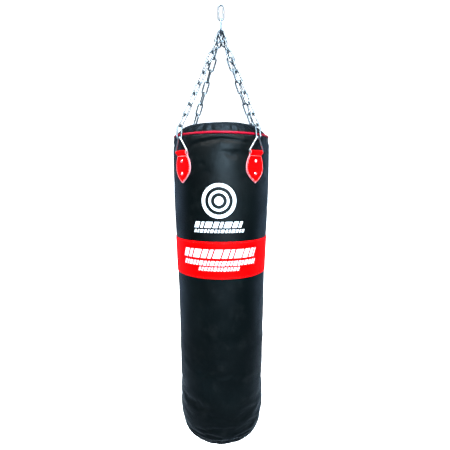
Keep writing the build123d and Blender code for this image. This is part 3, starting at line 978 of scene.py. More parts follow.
@dataclass
class LeatherCase:
    """Side wall, lid and base of the bag, sewn from black hide."""

    around: int = 256
    wall_rows: int = 190
    lid_rows: int = 40
    base_rows: int = 44
    hide: float = 3.0 * MM
    lid_flatness: float = 2.6
    lid_shoulder: float = 1.9

    def wall_heights(self) -> list[float]:
        """Heights of the wall's rings, closer together at the rim and at the seam.

        Returns:
            The heights, from the rim down.
        """
        top = RIM_Z - PIPING_RADIUS - 0.1 * MM
        heights = []
        for row in range(self.wall_rows + 1):
            share = row / self.wall_rows
            eased = share + 0.055 * math.sin(TAU * share) * -1.0
            heights.append(top + (SEAM_Z - top) * eased)
        return heights

    def build_wall(self) -> bpy.types.Object:
        """Tube of hide from the piping down to the base seam, with an inner face.

        Returns:
            The piece.
        """
        heights = self.wall_heights()
        rings = [ring_at(lambda a, z=z: FORM.radius(a, z), z, self.around) for z in heights]
        inner = [heights[0], RIM_Z - 0.06, RIM_Z - 0.3, RIM_Z - 0.7, RIM_Z - 1.02, RIM_Z - 1.09, SEAM_Z]
        inside = [
            ring_at(lambda a, z=z: FORM.plain_radius(z) - self.hide, z, self.around)
            for z in reversed(inner)
        ]
        wall = closed_rings("side_wall_hide", rings + inside, Finish.BLACK_HIDE)
        settle(wall, BAG_BODY, "black_leather", "side_wall")
        return wall

    def plain_lid(self, share: float) -> float:
        """Height of the lid before its lumps, at a share of its radius."""
        rise = LID_HIGH_Z - RIM_Z
        return rise * (1 - min(share, 1.0) ** self.lid_flatness) ** (1 / self.lid_shoulder)

    def lid_height(self, share: float, angle: float) -> float:
        """Height of the lid above the rim plane, at a share of its radius.

        Args:
            share: part of the lid's radius, from 0 at the middle to 1.
            angle: round the bag from +X towards +Y, in radians.

        Returns:
            The height above the rim plane, in metres.
        """
        dome = self.plain_lid(share)
        x, y = share * math.cos(angle), share * math.sin(angle)
        lumps = noise.noise(Vector((x * 1.7, y * 1.7, 5.0))) * 3.0 * MM
        lumps += noise.noise(Vector((x * 4.5, y * 4.5, 1.0))) * 1.2 * MM
        radial = noise.noise(Vector((math.cos(angle) * 11.0, math.sin(angle) * 11.0, 8.0)))
        broad = noise.noise(Vector((math.cos(angle) * 4.0, math.sin(angle) * 4.0, 3.0)))
        edge = math.exp(-(1 - share) / 0.13)
        gathers = (radial * 2.6 + broad * 1.6) * MM * edge * (1 - share**12)
        return dome + (lumps + 2.6 * MM) * (1 - share**6) + gathers

    def fill_dome(
        self, rings: list[np.ndarray], fill: ClothFill, seam_first: bool = False
    ) -> list[np.ndarray]:
        """Simulate rings that close at a pole and are held at their seam.

        Args:
            rings: rings of points, one way.
            fill: how the filling presses.
            seam_first: whether the seam is the first ring, and the pole after the last.

        Returns:
            The rings after the simulation.
        """
        around = self.around
        total = len(rings) * around
        pole_ring = rings[-1] if seam_first else rings[0]
        points = np.concatenate([*rings, pole_ring.mean(axis=0)[None]])
        faces: list[Face] = list(ring_faces(len(rings), around, False))
        for column in range(around):
            following = (column + 1) % around
            if seam_first:
                faces.append((total - around + following, total - around + column, total))
            else:
                faces.append((column, following, total))
        seam = range(around) if seam_first else range(total - around, total)
        filled = fill.settle(points, faces, list(seam))
        return [filled[row * around:(row + 1) * around] for row in range(len(rings))]

    def build_lid(self) -> bpy.types.Object:
        """Domed lid, puckered where the piping holds it, with its tucked skirt.

        Returns:
            The piece.
        """
        rings = []
        for row in range(1, self.lid_rows + 1):
            share = math.sin(row / self.lid_rows * math.pi / 2)
            reach = LID_RADIUS * share
            ring = ring_at(lambda a, r=reach: r, 0.0, self.around)
            for column in range(self.around):
                ring[column, 2] = RIM_Z + self.lid_height(share, TAU * column / self.around)
            rings.append(ring)
        rings = self.fill_dome(rings, ClothFill(grow=0.03, cap=5.0 * MM))
        shares = [math.sin(row / self.lid_rows * math.pi / 2) for row in range(1, self.lid_rows + 1)]
        profile = [(LID_RADIUS * share, RIM_Z + self.plain_lid(share)) for share in shares]
        rings = FORM.keep_out(rings, profile)
        skirt_z = low_high("top_lid")[0].z
        rings.append(ring_at(lambda a: LID_RADIUS, skirt_z, self.around))
        rings.append(ring_at(lambda a: LID_RADIUS - self.hide, skirt_z, self.around))
        for row in range(self.lid_rows, 0, -4):
            share = math.sin(row / self.lid_rows * math.pi / 2)
            inside = ring_at(lambda a, r=(LID_RADIUS - self.hide) * share: r, 0.0, self.around)
            rise = LID_HIGH_Z - RIM_Z - self.hide
            dome = rise * (1 - share**self.lid_flatness) ** (1 / self.lid_shoulder)
            inside[:, 2] = RIM_Z + dome - 0.8 * MM
            rings.append(inside)
        lid = capped_rings("top_lid_hide", rings, Finish.BLACK_HIDE)
        settle(lid, BAG_BODY, "black_leather", "top_lid")
        return lid

    def build_base(self) -> bpy.types.Object:
        """Rounded base, gathered at its seam, with an inner face.

        Returns:
            The piece.
        """
        corner_z = BASE_Z + FORM.corner_rise
        start = (corner_z - (SEAM_Z - 0.1 * MM)) / FORM.corner_rise
        turn = math.asin(start ** (FORM.corner_drop / 2))
        rings, profile = [], []
        for row in range(self.base_rows):
            share = row / self.base_rows
            angle_down = turn + (math.pi / 2 - turn) * share**0.8
            z = corner_z - FORM.corner_rise * math.sin(angle_down) ** (2 / FORM.corner_drop)
            flat = smooth_step(share, 0.3, 1.0)
            profile.append((FORM.plain_radius(z), z))
            ring = ring_at(lambda a, z=z: FORM.radius(a, z), z, self.around)
            for column in range(self.around):
                x, y = ring[column, 0], ring[column, 1]
                ring[column, 2] += flat * 1.6 * MM * (noise.noise(Vector((x * 14.0, y * 14.0, 2.0))) + 0.6)
            rings.append(ring)
        rings = self.fill_dome(rings, ClothFill(grow=0.02, cap=4.0 * MM), seam_first=True)
        rings = FORM.keep_out(rings, profile)
        inside = []
        for row in range(self.base_rows - 1, -1, -6):
            angle_down = turn + (math.pi / 2 - turn) * (row / self.base_rows) ** 0.8
            z = corner_z - FORM.corner_rise * math.sin(angle_down) ** (2 / FORM.corner_drop)
            share = FORM.plain_radius(z) - self.hide
            inside.append(ring_at(lambda a, r=share: r, min(z + self.hide, SEAM_Z), self.around))
        faces = ring_faces(len(rings) + len(inside), self.around, False)
        points = rings + inside
        base = self.close_base(points, len(rings), faces)
        settle(base, BAG_BODY, "black_leather", "base_cap")
        return base

    def close_base(self, rings: list[np.ndarray], outside: int, faces: list[Face]) -> bpy.types.Object:
        """Join the base's outer and inner faces at the seam and close both at the middle.

        Args:
            rings: outer rings from the seam down, then inner rings from the middle up.
            outside: number of outer rings.
            faces: faces between all following rings.

        Returns:
            The closed base.
        """
        around = self.around
        bridge = range((outside - 1) * around, outside * around)
        kept: list[Face] = [face for number, face in enumerate(faces) if number not in bridge]
        total = len(rings)
        poles = [[0, 0, rings[row][:, 2].mean()] for row in (outside - 1, outside)]
        points = np.concatenate([*rings, poles])
        low, high = total * around, total * around + 1
        for column in range(around):
            following = (column + 1) % around
            kept.append(((outside - 1) * around + column, low, (outside - 1) * around + following))
            kept.append((outside * around + column, outside * around + following, high))
            inner_rim = (total - 1) * around
            kept.append((inner_rim + column, column, following, inner_rim + following))
        return mesh_object("base_cap_hide", points, kept, Finish.BLACK_HIDE)


def tube_round_axis(
    name: str, kind: Finish, centre: Callable[[float], tuple[float, float]],
    radius: Callable[[float], float], around: int, section: int,
) -> bpy.types.Object:
    """Closed tube that runs round the Z axis.

    Args:
        name: the piece's name.
        kind: its finish.
        centre: distance from the axis and height of the tube's middle, at an angle.
        radius: the tube's radius at an angle.
        around: steps round the axis.
        section: steps round the tube.

    Returns:
        The tube.
    """
    rings = []
    for step in range(section):
        turn = -TAU * step / section
        points = []
        for column in range(around):
            angle = TAU * column / around
            reach, z = centre(angle)
            r = reach + radius(angle) * math.cos(turn)
            points.append((r * math.cos(angle), r * math.sin(angle), z + radius(angle) * math.sin(turn)))
        rings.append(np.array(points))
    return closed_rings(name, rings, kind)


@dataclass
class Trim:
    """Rim piping and waist band."""

    around: int = 288
    band_hide: float = 1.9 * MM
    band_rows: int = 34

    def build_piping(self) -> bpy.types.Object:
        """Leather wound over a cord, a little uneven where it was sewn.

        Returns:
            The piece.
        """

        def wave(angle: float, rate: float, seed: float) -> float:
            """Smooth unevenness round the rim."""
            return noise.noise(Vector((math.cos(angle) * rate, math.sin(angle) * rate, seed)))

        def centre(angle: float) -> tuple[float, float]:
            """Middle of the piping at an angle."""
            reach = PIPING_CIRCLE + 0.35 * MM * wave(angle, 5.0, 1.0)
            return reach, RIM_Z + 0.9 * MM * wave(angle, 3.0, 2.0)

        def radius(angle: float) -> float:
            """Radius of the piping at an angle."""
            return PIPING_RADIUS * (1.2 + 0.07 * wave(angle, 26.0, 3.0))

        piping = tube_round_axis("rim_piping_cord", Finish.PIPING_HIDE, centre, radius, 360, 16)
        settle(piping, BAG_BODY, "piping_leather", "rim_piping")
        return piping

    def band_radius(self, angle: float, z: float) -> float:
        """Outer radius of the band, thinned at its two edges.

        Args:
            angle: round the bag from +X towards +Y, in radians.
            z: height in the frame, in metres.

        Returns:
            The radius, in metres.
        """
        edge = min(BAND_HIGH_Z - z, z - BAND_LOW_Z)
        rounded = math.sqrt(max(0.0, 1 - max(0.0, 1 - edge / (1.6 * MM)) ** 2))
        dimple = 0.45 * MM * math.exp(-(((edge - 5.0 * MM) / (1.4 * MM)) ** 2))
        return FORM.radius(angle, z) + 0.15 * MM + self.band_hide * (0.45 + 0.55 * rounded) - dimple

    def build_band(self) -> bpy.types.Object:
        """Red band sewn round the wall, following its lumps.

        Returns:
            The piece.
        """
        heights = []
        for row in range(self.band_rows + 1):
            share = row / self.band_rows
            eased = 0.5 - 0.5 * math.cos(math.pi * share) if share not in (0.0, 1.0) else share
            heights.append(BAND_HIGH_Z + (BAND_LOW_Z - BAND_HIGH_Z) * (0.6 * eased + 0.4 * share))
        rings = [ring_at(lambda a, z=z: self.band_radius(a, z), z, self.around) for z in heights]
        rings += [
            ring_at(lambda a, z=z: FORM.radius(a, z) - 0.3 * MM, z, self.around)
            for z in reversed(heights[::3] + heights[-1:])
        ]
        band = closed_rings("waist_band_hide", rings, Finish.RED_HIDE)
        settle(band, BAG_BODY, "red_leather", "waist_band")
        return band


TRIM = Trim()


# ------------------------------------------------------------------ copies along paths
def geometry_tree(
    name: str, inputs: dict[str, tuple[str, object]]
) -> tuple[bpy.types.NodeTree, Nodes, bpy.types.Node, bpy.types.Node]:
    """Make an empty Geometry Nodes tree with a geometry input and output.

    Args:
        name: the tree's name.
        inputs: more inputs, name to (socket type, default).

    Returns:
        The tree, a Nodes helper, its input node and its output node.
    """
    tree = bpy.data.node_groups.new(name, "GeometryNodeTree")
    tree.interface.new_socket("Geometry", in_out="INPUT", socket_type="NodeSocketGeometry")
    for key, (kind, value) in inputs.items():
        socket = tree.interface.new_socket(key, in_out="INPUT", socket_type=kind)
        if value is not None:
            socket.default_value = value
    tree.interface.new_socket("Geometry", in_out="OUTPUT", socket_type="NodeSocketGeometry")
    tools = Nodes(tree)
    return tree, tools, tools.add("NodeGroupInput"), tools.add("NodeGroupOutput")


def facing_rotation(tools: Nodes) -> object:
    """Rotation that turns local X along a path and local Z away from the surface.

    Args:
        tools: helper of the tree that is being built.

    Returns:
        The rotation's socket.
    """
    along = tools.add("GeometryNodeInputNamedAttribute", data_type="FLOAT_VECTOR")
    along.inputs[0].default_value = "along"
    outward = tools.add("GeometryNodeInputNamedAttribute", data_type="FLOAT_VECTOR")
    outward.inputs[0].default_value = "outward"
    first = tools.add("FunctionNodeAlignRotationToVector", axis="X")
    tools.put(first.inputs["Vector"], along.outputs[0])
    second = tools.add("FunctionNodeAlignRotationToVector", axis="Z", pivot_axis="X")
    tools.put(second.inputs["Rotation"], first.outputs[0])
    tools.put(second.inputs["Vector"], outward.outputs[0])
    return second.outputs[0]


def finish_copies(
    tools: Nodes, source: bpy.types.Node, result: bpy.types.Node, copies: bpy.types.NodeSocket
) -> None:
    """End a tree: realise the copies, shade them smooth and give them their material.

    Args:
        tools: helper of the tree that is being built.
        source: the tree's input node.
        result: the tree's output node.
        copies: socket with the copies.
    """
    real = tools.add("GeometryNodeRealizeInstances")
    tools.put(real.inputs[0], copies)
    shade = tools.add("GeometryNodeSetShadeSmooth")
    tools.put(shade.inputs[0], real.outputs[0])
    wear = tools.add("GeometryNodeSetMaterial")
    tools.put(wear.inputs["Geometry"], shade.outputs[0])
    tools.put(wear.inputs["Material"], source.outputs["Finish"])
    tools.put(result.inputs[0], wear.outputs[0])


def stitch_tree() -> bpy.types.NodeTree:
    """Tree that lays one short thread at each point.

    Returns:
        The tree.
    """
    tree, tools, source, result = geometry_tree(
        "stitch_row",
        {
            "Stitch Length": ("NodeSocketFloat", 0.005),
            "Thread Radius": ("NodeSocketFloat", 0.0006),
            "Seed": ("NodeSocketInt", 7),
            "Finish": ("NodeSocketMaterial", None),
        },
    )
    thread = tools.add("GeometryNodeMeshUVSphere")
    thread.inputs["Segments"].default_value = 8
    thread.inputs["Rings"].default_value = 5
    thread.inputs["Radius"].default_value = 1.0
    size = tools.add("ShaderNodeCombineXYZ")
    tools.put(size.inputs[0], tools.math("MULTIPLY", source.outputs["Stitch Length"], 0.5))
    tools.put(size.inputs[1], source.outputs["Thread Radius"])
    tools.put(size.inputs[2], source.outputs["Thread Radius"])
    shaped = tools.add("GeometryNodeTransform")
    tools.put(shaped.inputs["Geometry"], thread.outputs[0])
    tools.put(shaped.inputs["Scale"], size.outputs[0])
    copies = tools.add("GeometryNodeInstanceOnPoints")
    points = tools.add("GeometryNodeMeshToPoints")
    tools.put(points.inputs[0], source.outputs["Geometry"])
    tools.put(copies.inputs["Points"], points.outputs[0])
    tools.put(copies.inputs["Instance"], shaped.outputs[0])
    tools.put(copies.inputs["Rotation"], facing_rotation(tools))
    vary = tools.add("FunctionNodeRandomValue", data_type="FLOAT")
    vary.inputs[2].default_value = 0.9
    vary.inputs[3].default_value = 1.08
    tools.put(vary.inputs["Seed"], source.outputs["Seed"])
    tools.put(copies.inputs["Scale"], vary.outputs[1])
    finish_copies(tools, source, result, copies.outputs[0])
    return tree


def chain_tree() -> bpy.types.NodeTree:
    """Tree that puts one long wire link, with its weld, at each point.

    Returns:
        The tree.
    """
    tree, tools, source, result = geometry_tree(
        "chain_links",
        {
            "Link Length": ("NodeSocketFloat", 0.048),
            "Link Width": ("NodeSocketFloat", 0.018),
            "Wire Radius": ("NodeSocketFloat", 0.003),
            "Weld Swell": ("NodeSocketFloat", 0.16),
            "Finish": ("NodeSocketMaterial", None),
        },
    )
    shape = tools.add("GeometryNodeCurvePrimitiveQuadrilateral")
    tools.put(shape.inputs[0], source.outputs["Link Length"])
    tools.put(shape.inputs[1], source.outputs["Link Width"])
    rounded = tools.add("GeometryNodeFilletCurve")
    rounded.mode = "POLY"
    tools.put(rounded.inputs["Curve"], shape.outputs[0])
    tools.put(rounded.inputs["Radius"], tools.math("MULTIPLY", source.outputs["Link Width"], 0.4999))
    rounded.inputs["Count"].default_value = 10
    even = tools.add("GeometryNodeResampleCurve")
    tools.put(even.inputs["Curve"], rounded.outputs[0])
    even.inputs["Count"].default_value = 72
    place = tools.add("GeometryNodeInputPosition")
    weld = tools.add("ShaderNodeCombineXYZ")
    tools.put(weld.inputs[1], tools.math("MULTIPLY", source.outputs["Link Width"], 0.5))
    far = tools.add("ShaderNodeVectorMath", operation="DISTANCE")
    tools.put(far.inputs[0], place.outputs[0])
    tools.put(far.inputs[1], weld.outputs[0])
    swell = tools.ramp(far.outputs["Value"], 0.0008, 0.0034, 1.0, 0.0)
    thick = tools.add("GeometryNodeSetCurveRadius")
    tools.put(thick.inputs[0], even.outputs[0])
    weld_radius = tools.math("MULTIPLY", swell, source.outputs["Weld Swell"])
    tools.put(thick.inputs["Radius"], tools.math("ADD", weld_radius, 1.0))
    wire = tools.add("GeometryNodeCurvePrimitiveCircle")
    wire.inputs["Resolution"].default_value = 12
    tools.put(wire.inputs["Radius"], source.outputs["Wire Radius"])
    swept = tools.add("GeometryNodeCurveToMesh")
    tools.put(swept.inputs["Curve"], thick.outputs[0])
    tools.put(swept.inputs["Profile Curve"], wire.outputs[0])
    copies = tools.add("GeometryNodeInstanceOnPoints")
    points = tools.add("GeometryNodeMeshToPoints")
    tools.put(points.inputs[0], source.outputs["Geometry"])
    tools.put(copies.inputs["Points"], points.outputs[0])
    tools.put(copies.inputs["Instance"], swept.outputs[0])
    tools.put(copies.inputs["Rotation"], facing_rotation(tools))
    finish_copies(tools, source, result, copies.outputs[0])
    return tree


TREES = {"stitch_row": stitch_tree(), "chain_links": chain_tree()}


def copies_piece(
    name: str, tree: str, places: Sequence[Vector], along: Sequence[Vector],
    outward: Sequence[Vector], kind: Finish, **sizes: float,
) -> bpy.types.Object:
    """Run a tree on a set of points and keep its result as a plain mesh.

    Args:
        name: the piece's name.
        tree: which tree lays the copies.
        places: where each copy goes.
        along: direction of each copy's length.
        outward: direction each copy faces.
        kind: its finish.
        sizes: values of the tree's named inputs.

    Returns:
        The finished piece.
    """
    mesh = bpy.data.meshes.new(name + "_points")
    mesh.from_pydata([tuple(p) for p in places], [], [])
    for key, values in (("along", along), ("outward", outward)):
        attribute = mesh.attributes.new(key, "FLOAT_VECTOR", "POINT")
        attribute.data.foreach_set("vector", [number for vector in values for number in vector])
    holder = bpy.data.objects.new(name + "_holder", mesh)
    bpy.context.scene.collection.objects.link(holder)
    modifier = holder.modifiers.new("copies", "NODES")
    modifier.node_group = TREES[tree]
    wanted = {key.replace("_", " "): value for key, value in sizes.items()}
    for item in TREES[tree].interface.items_tree:
        if item.item_type == "SOCKET" and item.in_out == "INPUT":
            if item.name == "Finish":
                modifier[item.identifier] = finish_of(kind)
            elif item.name in wanted:
                modifier[item.identifier] = wanted[item.name]
    graph = bpy.context.evaluated_depsgraph_get()
    made = bpy.data.meshes.new_from_object(holder.evaluated_get(graph))
    bpy.data.objects.remove(holder)
    made.name = name
    for key in ("along", "outward"):
        if key in made.attributes:
            made.attributes.remove(made.attributes[key])
    piece = bpy.data.objects.new(name, made)
    bpy.context.scene.collection.objects.link(piece)
    return piece


@dataclass
class StitchRow:
    """A row of even stitches along a path on a surface."""

    name: str
    path: Path
    length: float
    pitch: float = 6.0 * MM
    stitch: float = 4.6 * MM
    thread: float = 0.55 * MM
    kind: Finish = Finish.PALE_THREAD
    slot: str = "red_leather"

    def build(self) -> bpy.types.Object:
        """Lay the stitches at even distances.

        Returns:
            The piece.
        """
        count = max(4, round(self.length / self.pitch))
        places, along, outward = [], [], []
        for index in range(count):
            share = (index + 0.5) / count
            here, out = self.path(share)
            before = self.path(share - 0.2 / count)[0]
            after = self.path(share + 0.2 / count)[0]
            places.append(here)
            along.append((after - before).normalized())
            outward.append(out)
        row = copies_piece(self.name, "stitch_row", places, along, outward, self.kind,
                           Stitch_Length=self.stitch, Thread_Radius=self.thread)
        settle(row, BAG_BODY, self.slot)
        return row


def round_path(radius: Surface, z: float) -> Path:
    """Path once round a surface at a height, as places and outward directions.

    Args:
        radius: the surface, by angle and height.
        z: height in the frame, in metres.

    Returns:
        Function of a share of the way round, giving a place and the direction outward.
    """

    def path(share: float) -> tuple[Vector, Vector]:
        """Place and outward direction at a share of the way round."""
        angle = TAU * share
        return at_angle(angle, radius(angle, z), z), outward_at(angle)

    return path


def upright_path(radius: Surface, angle: float, high: float, low: float) -> Path:
    """Path straight down a surface, as places and outward directions.

    Args:
        radius: the surface, by angle and height.
        angle: round the bag from +X towards +Y, in radians.
        high: height of its upper end.
        low: height of its lower end.

    Returns:
        Function of a share of the way down, giving a place and the direction outward.
    """

    def path(share: float) -> tuple[Vector, Vector]:
        """Place and outward direction at a share of the way down."""
        z = high + (low - high) * share
        return at_angle(angle, radius(angle, z), z), outward_at(angle)

    return path


@dataclass
class CaseStitches:
    """Stitch rows on the band, round the rim and the base seam, and down the back."""

    band_inset: float = 5.0 * MM
    rim_drop: float = 7.5 * MM
    seam_side: float = 5.0 * MM
    back_turns: tuple[float, float] = (88.6, 91.4)
    back_top: float = 12.0 * MM
    back_gap: float = 4.0 * MM
    back_foot: float = 10.0 * MM
    band_pitch: float = 6.0 * MM
    black_pitch: float = 5.0 * MM
    black_stitch: float = 3.8 * MM

    def black_row(self, name: str, path: Path, length: float) -> None:
        """Lay a row of black thread on the black hide.

        Args:
            name: the row's name.
            path: where the row runs.
            length: its length, in metres.
        """
        StitchRow(
            name, path, length, self.black_pitch, self.black_stitch,
            kind=Finish.BLACK_THREAD, slot="black_leather",
        ).build()

    def build(self) -> None:
        """Sew every row."""
        once_round = TAU * BAG_RADIUS
        for z, label in ((BAND_HIGH_Z - self.band_inset, "upper"), (BAND_LOW_Z + self.band_inset, "lower")):
            path = round_path(TRIM.band_radius, z)
            name = f"band_{label}_stitches"
            StitchRow(name, path, once_round, self.band_pitch, kind=Finish.RED_THREAD).build()
        seam = RIM_Z - SEAM_Z
        for drop, label in (
            (self.rim_drop, "rim"), (seam - self.seam_side, "base_upper"),
            (seam + self.seam_side, "base_lower"),
        ):
            self.black_row(f"{label}_stitches", round_path(FORM.radius, RIM_Z - drop), once_round)
        for turn, label in zip(self.back_turns, ("right", "left")):
            for high, low, part in (
                (RIM_Z - self.back_top, BAND_HIGH_Z + self.back_gap, "upper"),
                (BAND_LOW_Z - self.back_gap, SEAM_Z + self.back_foot, "lower"),
            ):
                path = upright_path(FORM.radius, math.radians(turn), high, low)
                self.black_row(f"back_seam_{part}_{label}", path, high - low)


# ------------------------------------------------------------------ anchor tabs
@dataclass
class AnchorTab:
    """Red strap folded over a ring and riveted to the wall."""

    side: str
    hide: float = 2.6 * MM
    half_fold: float = 28.0 * MM
    half_width: float = 40.0 * MM
    loop_drop: float = 60.0 * MM
    seam_drop: float = 71.0 * MM
    widest_drop: float = 107.0 * MM
    tip_drop: float = 164.0 * MM
    bore: float = 4.0 * MM
    edge_round: float = 1.3 * MM
    stitch_inset: float = 3.4 * MM
    stitch_pitch: float = 4.2 * MM
    stitch_length: float = 3.3 * MM
    pale_edge: float = 1.5 * MM
    pale_tip: float = 3.5 * MM
    across: int = 36

    def __post_init__(self) -> None:
        """Work out places from the frame."""
        self.azimuth = azimuth_of(f"tab_rivets_{self.side}")
        self.back = BAG_RADIUS + 0.1 * MM

    def half_at(self, drop: float) -> float:
        """Half the strap's width at a drop below the rim.

        Args:
            drop: distance below the rim plane, in metres.

        Returns:
            Half the width, in metres.
        """
        if drop <= self.seam_drop:
            return self.half_fold
        if drop <= self.widest_drop:
            share = (drop - self.seam_drop) / (self.widest_drop - self.seam_drop)
            return self.half_fold + (self.half_width - self.half_fold) * math.sin(share * math.pi / 2)
        share = min((drop - self.widest_drop) / (self.tip_drop - self.widest_drop), 1.0)
        return self.half_width * math.cos(math.pi / 2 * share**1.3)

    def centre_line(self) -> list[tuple[float, float, float, float]]:
        """Strap's middle line: distance from the axis, height, and its outward direction.

        Returns:
            One entry for each place, from the wall's end over the loop to the front's end.
        """
        face = self.back + 1.5 * self.hide
        rear = self.back + 0.5 * self.hide
        loop_radius = self.bore + self.hide / 2
        loop = (self.back + self.bore + self.hide, RIM_Z - self.loop_drop)
        line = []
        drops = [self.tip_drop - 0.15 * MM - (self.tip_drop - self.seam_drop) * s for s in self.easing(26)]
        line += [(face, RIM_Z - drop, 1.0, 0.0) for drop in drops]
        start = math.atan2(-self.bore * 0.9, loop_radius)
        for step in range(15):
            turn = start + (math.pi - start) * step / 14
            out, up = math.cos(turn), math.sin(turn)
            line.append((loop[0] + loop_radius * out, loop[1] + loop_radius * up, out, up))
        line += [(rear, RIM_Z - drop, -1.0, 0.0) for drop in reversed(drops)]
        return line

    @staticmethod
    def easing(steps: int) -> list[float]:
        """Shares from 0 to 1, closer together at the tip."""
        return [(index / (steps - 1)) ** 1.5 for index in range(steps)]

    def place(self, side: float, reach: float, z: float) -> Vector:
        """Point at a sideways distance along the wall from the tab's middle."""
        return at_angle(self.azimuth + side / BAG_RADIUS, reach, z)

    def section(self, line: tuple[float, float, float, float]) -> np.ndarray:
        """Rounded strap section at one place of the middle line.

        Args:
            line: one entry of the middle line.

        Returns:
            One row of x, y and z for each point.
        """
        reach, z, out, up = line
        half = max(self.half_at(RIM_Z - z), 0.4 * MM)
        points = []
        for face in (1.0, -1.0):
            for step in range(self.across + 1):
                share = -math.cos(math.pi * step / self.across) * face
                past = max(0.0, (abs(share) * half - half + self.edge_round) / self.edge_round)
                thin = math.sqrt(max(0.0, 1 - past**2))
                offset = face * self.hide / 2 * (0.15 + 0.85 * thin)
                points.append(self.place(share * half, reach + out * offset, z + up * offset))
        return np.array([tuple(p) for p in points])

    def build_strap(self) -> bpy.types.Object:
        """The folded strap as one closed piece.

        Returns:
            The piece.
        """
        rings = [self.section(line) for line in self.centre_line()]
        strap = capped_rings(f"anchor_tab_hide_{self.side}", rings, Finish.RED_HIDE)
        mesh = strap.data
        mesh.materials.append(finish_of(Finish.CUT_EDGE))
        around = 2 * (self.across + 1)
        halves = [self.half_at(RIM_Z - line[1]) for line in self.centre_line()]
        for polygon in mesh.polygons[: (len(rings) - 1) * around]:
            row, column = divmod(polygon.index, around)
            place = (column % (self.across + 1) + 0.5) / self.across
            inside = halves[row] * (1 - abs(math.cos(math.pi * place)))
            if inside < self.pale_edge or halves[row] < self.pale_tip:
                polygon.material_index = 1
        settle(strap, BAG_BODY, "red_leather", f"anchor_tab_{self.side}")
        return strap

    def outline(self, inset: float) -> list[tuple[float, float]]:
        """Line inside the leaf's edge as sideways distance and drop, from seam round to seam.

        Args:
            inset: distance inside the edge, in metres.

        Returns:
            Sideways distance and drop of each place.
        """
        points = []
        steps = 60
        for step in range(steps + 1):
            share = step / steps
            drop = self.seam_drop + (self.tip_drop - self.seam_drop) * share
            points.append((self.half_at(drop), drop))
        inner = []
        for index, (half, drop) in enumerate(points):
            before = points[max(index - 1, 0)]
            after = points[min(index + 1, steps)]
            slope = math.hypot(after[0] - before[0], after[1] - before[1])
            normal = ((after[1] - before[1]) / slope, -(after[0] - before[0]) / slope)
            side = half - inset * normal[0]
            low = drop - inset * normal[1]
            if side > 0.2 * MM:
                inner.append((side, low))
        return inner + [(-side, drop) for side, drop in reversed(inner)]

    def build_stitches(self) -> None:
        """Edge stitches round the leaf, and the stitched seam below the loop."""
        edge = self.outline(self.stitch_inset)
        lengths = [0.0]
        for first, second in zip(edge, edge[1:]):
            lengths.append(lengths[-1] + math.dist(first, second))
        face = self.back + 2 * self.hide + 0.15 * MM

        def edge_path(share: float) -> tuple[Vector, Vector]:
            """Place on the edge line at a share of its length.

            Args:
                share: from 0 to 1.

            Returns:
                The place and the direction outward.
            """
            want = min(max(share, 0.0), 1.0) * lengths[-1]
            index = min(max(np.searchsorted(lengths, want), 1), len(edge) - 1)
            part = (want - lengths[index - 1]) / max(lengths[index] - lengths[index - 1], 1e-9)
            side = edge[index - 1][0] + (edge[index][0] - edge[index - 1][0]) * part
            drop = edge[index - 1][1] + (edge[index][1] - edge[index - 1][1]) * part
            return self.place(side, face, RIM_Z - drop), outward_at(self.azimuth + side / BAG_RADIUS)

        def seam_path(share: float) -> tuple[Vector, Vector]:
            """Place on the seam under the loop.

            Args:
                share: from 0 to 1.

            Returns:
                The place and the direction outward.
            """
            side = (share * 2 - 1) * (self.half_fold - self.stitch_inset)
            z = RIM_Z - self.seam_drop - 1.5 * MM
            return self.place(side, face, z), outward_at(self.azimuth + side / BAG_RADIUS)

        rows = (("edge", edge_path, lengths[-1]), ("seam", seam_path, 2 * self.half_fold))
        for label, path, length in rows:
            name = f"tab_{label}_stitches_{self.side}"
            StitchRow(name, path, length, self.stitch_pitch, self.stitch_length).build()


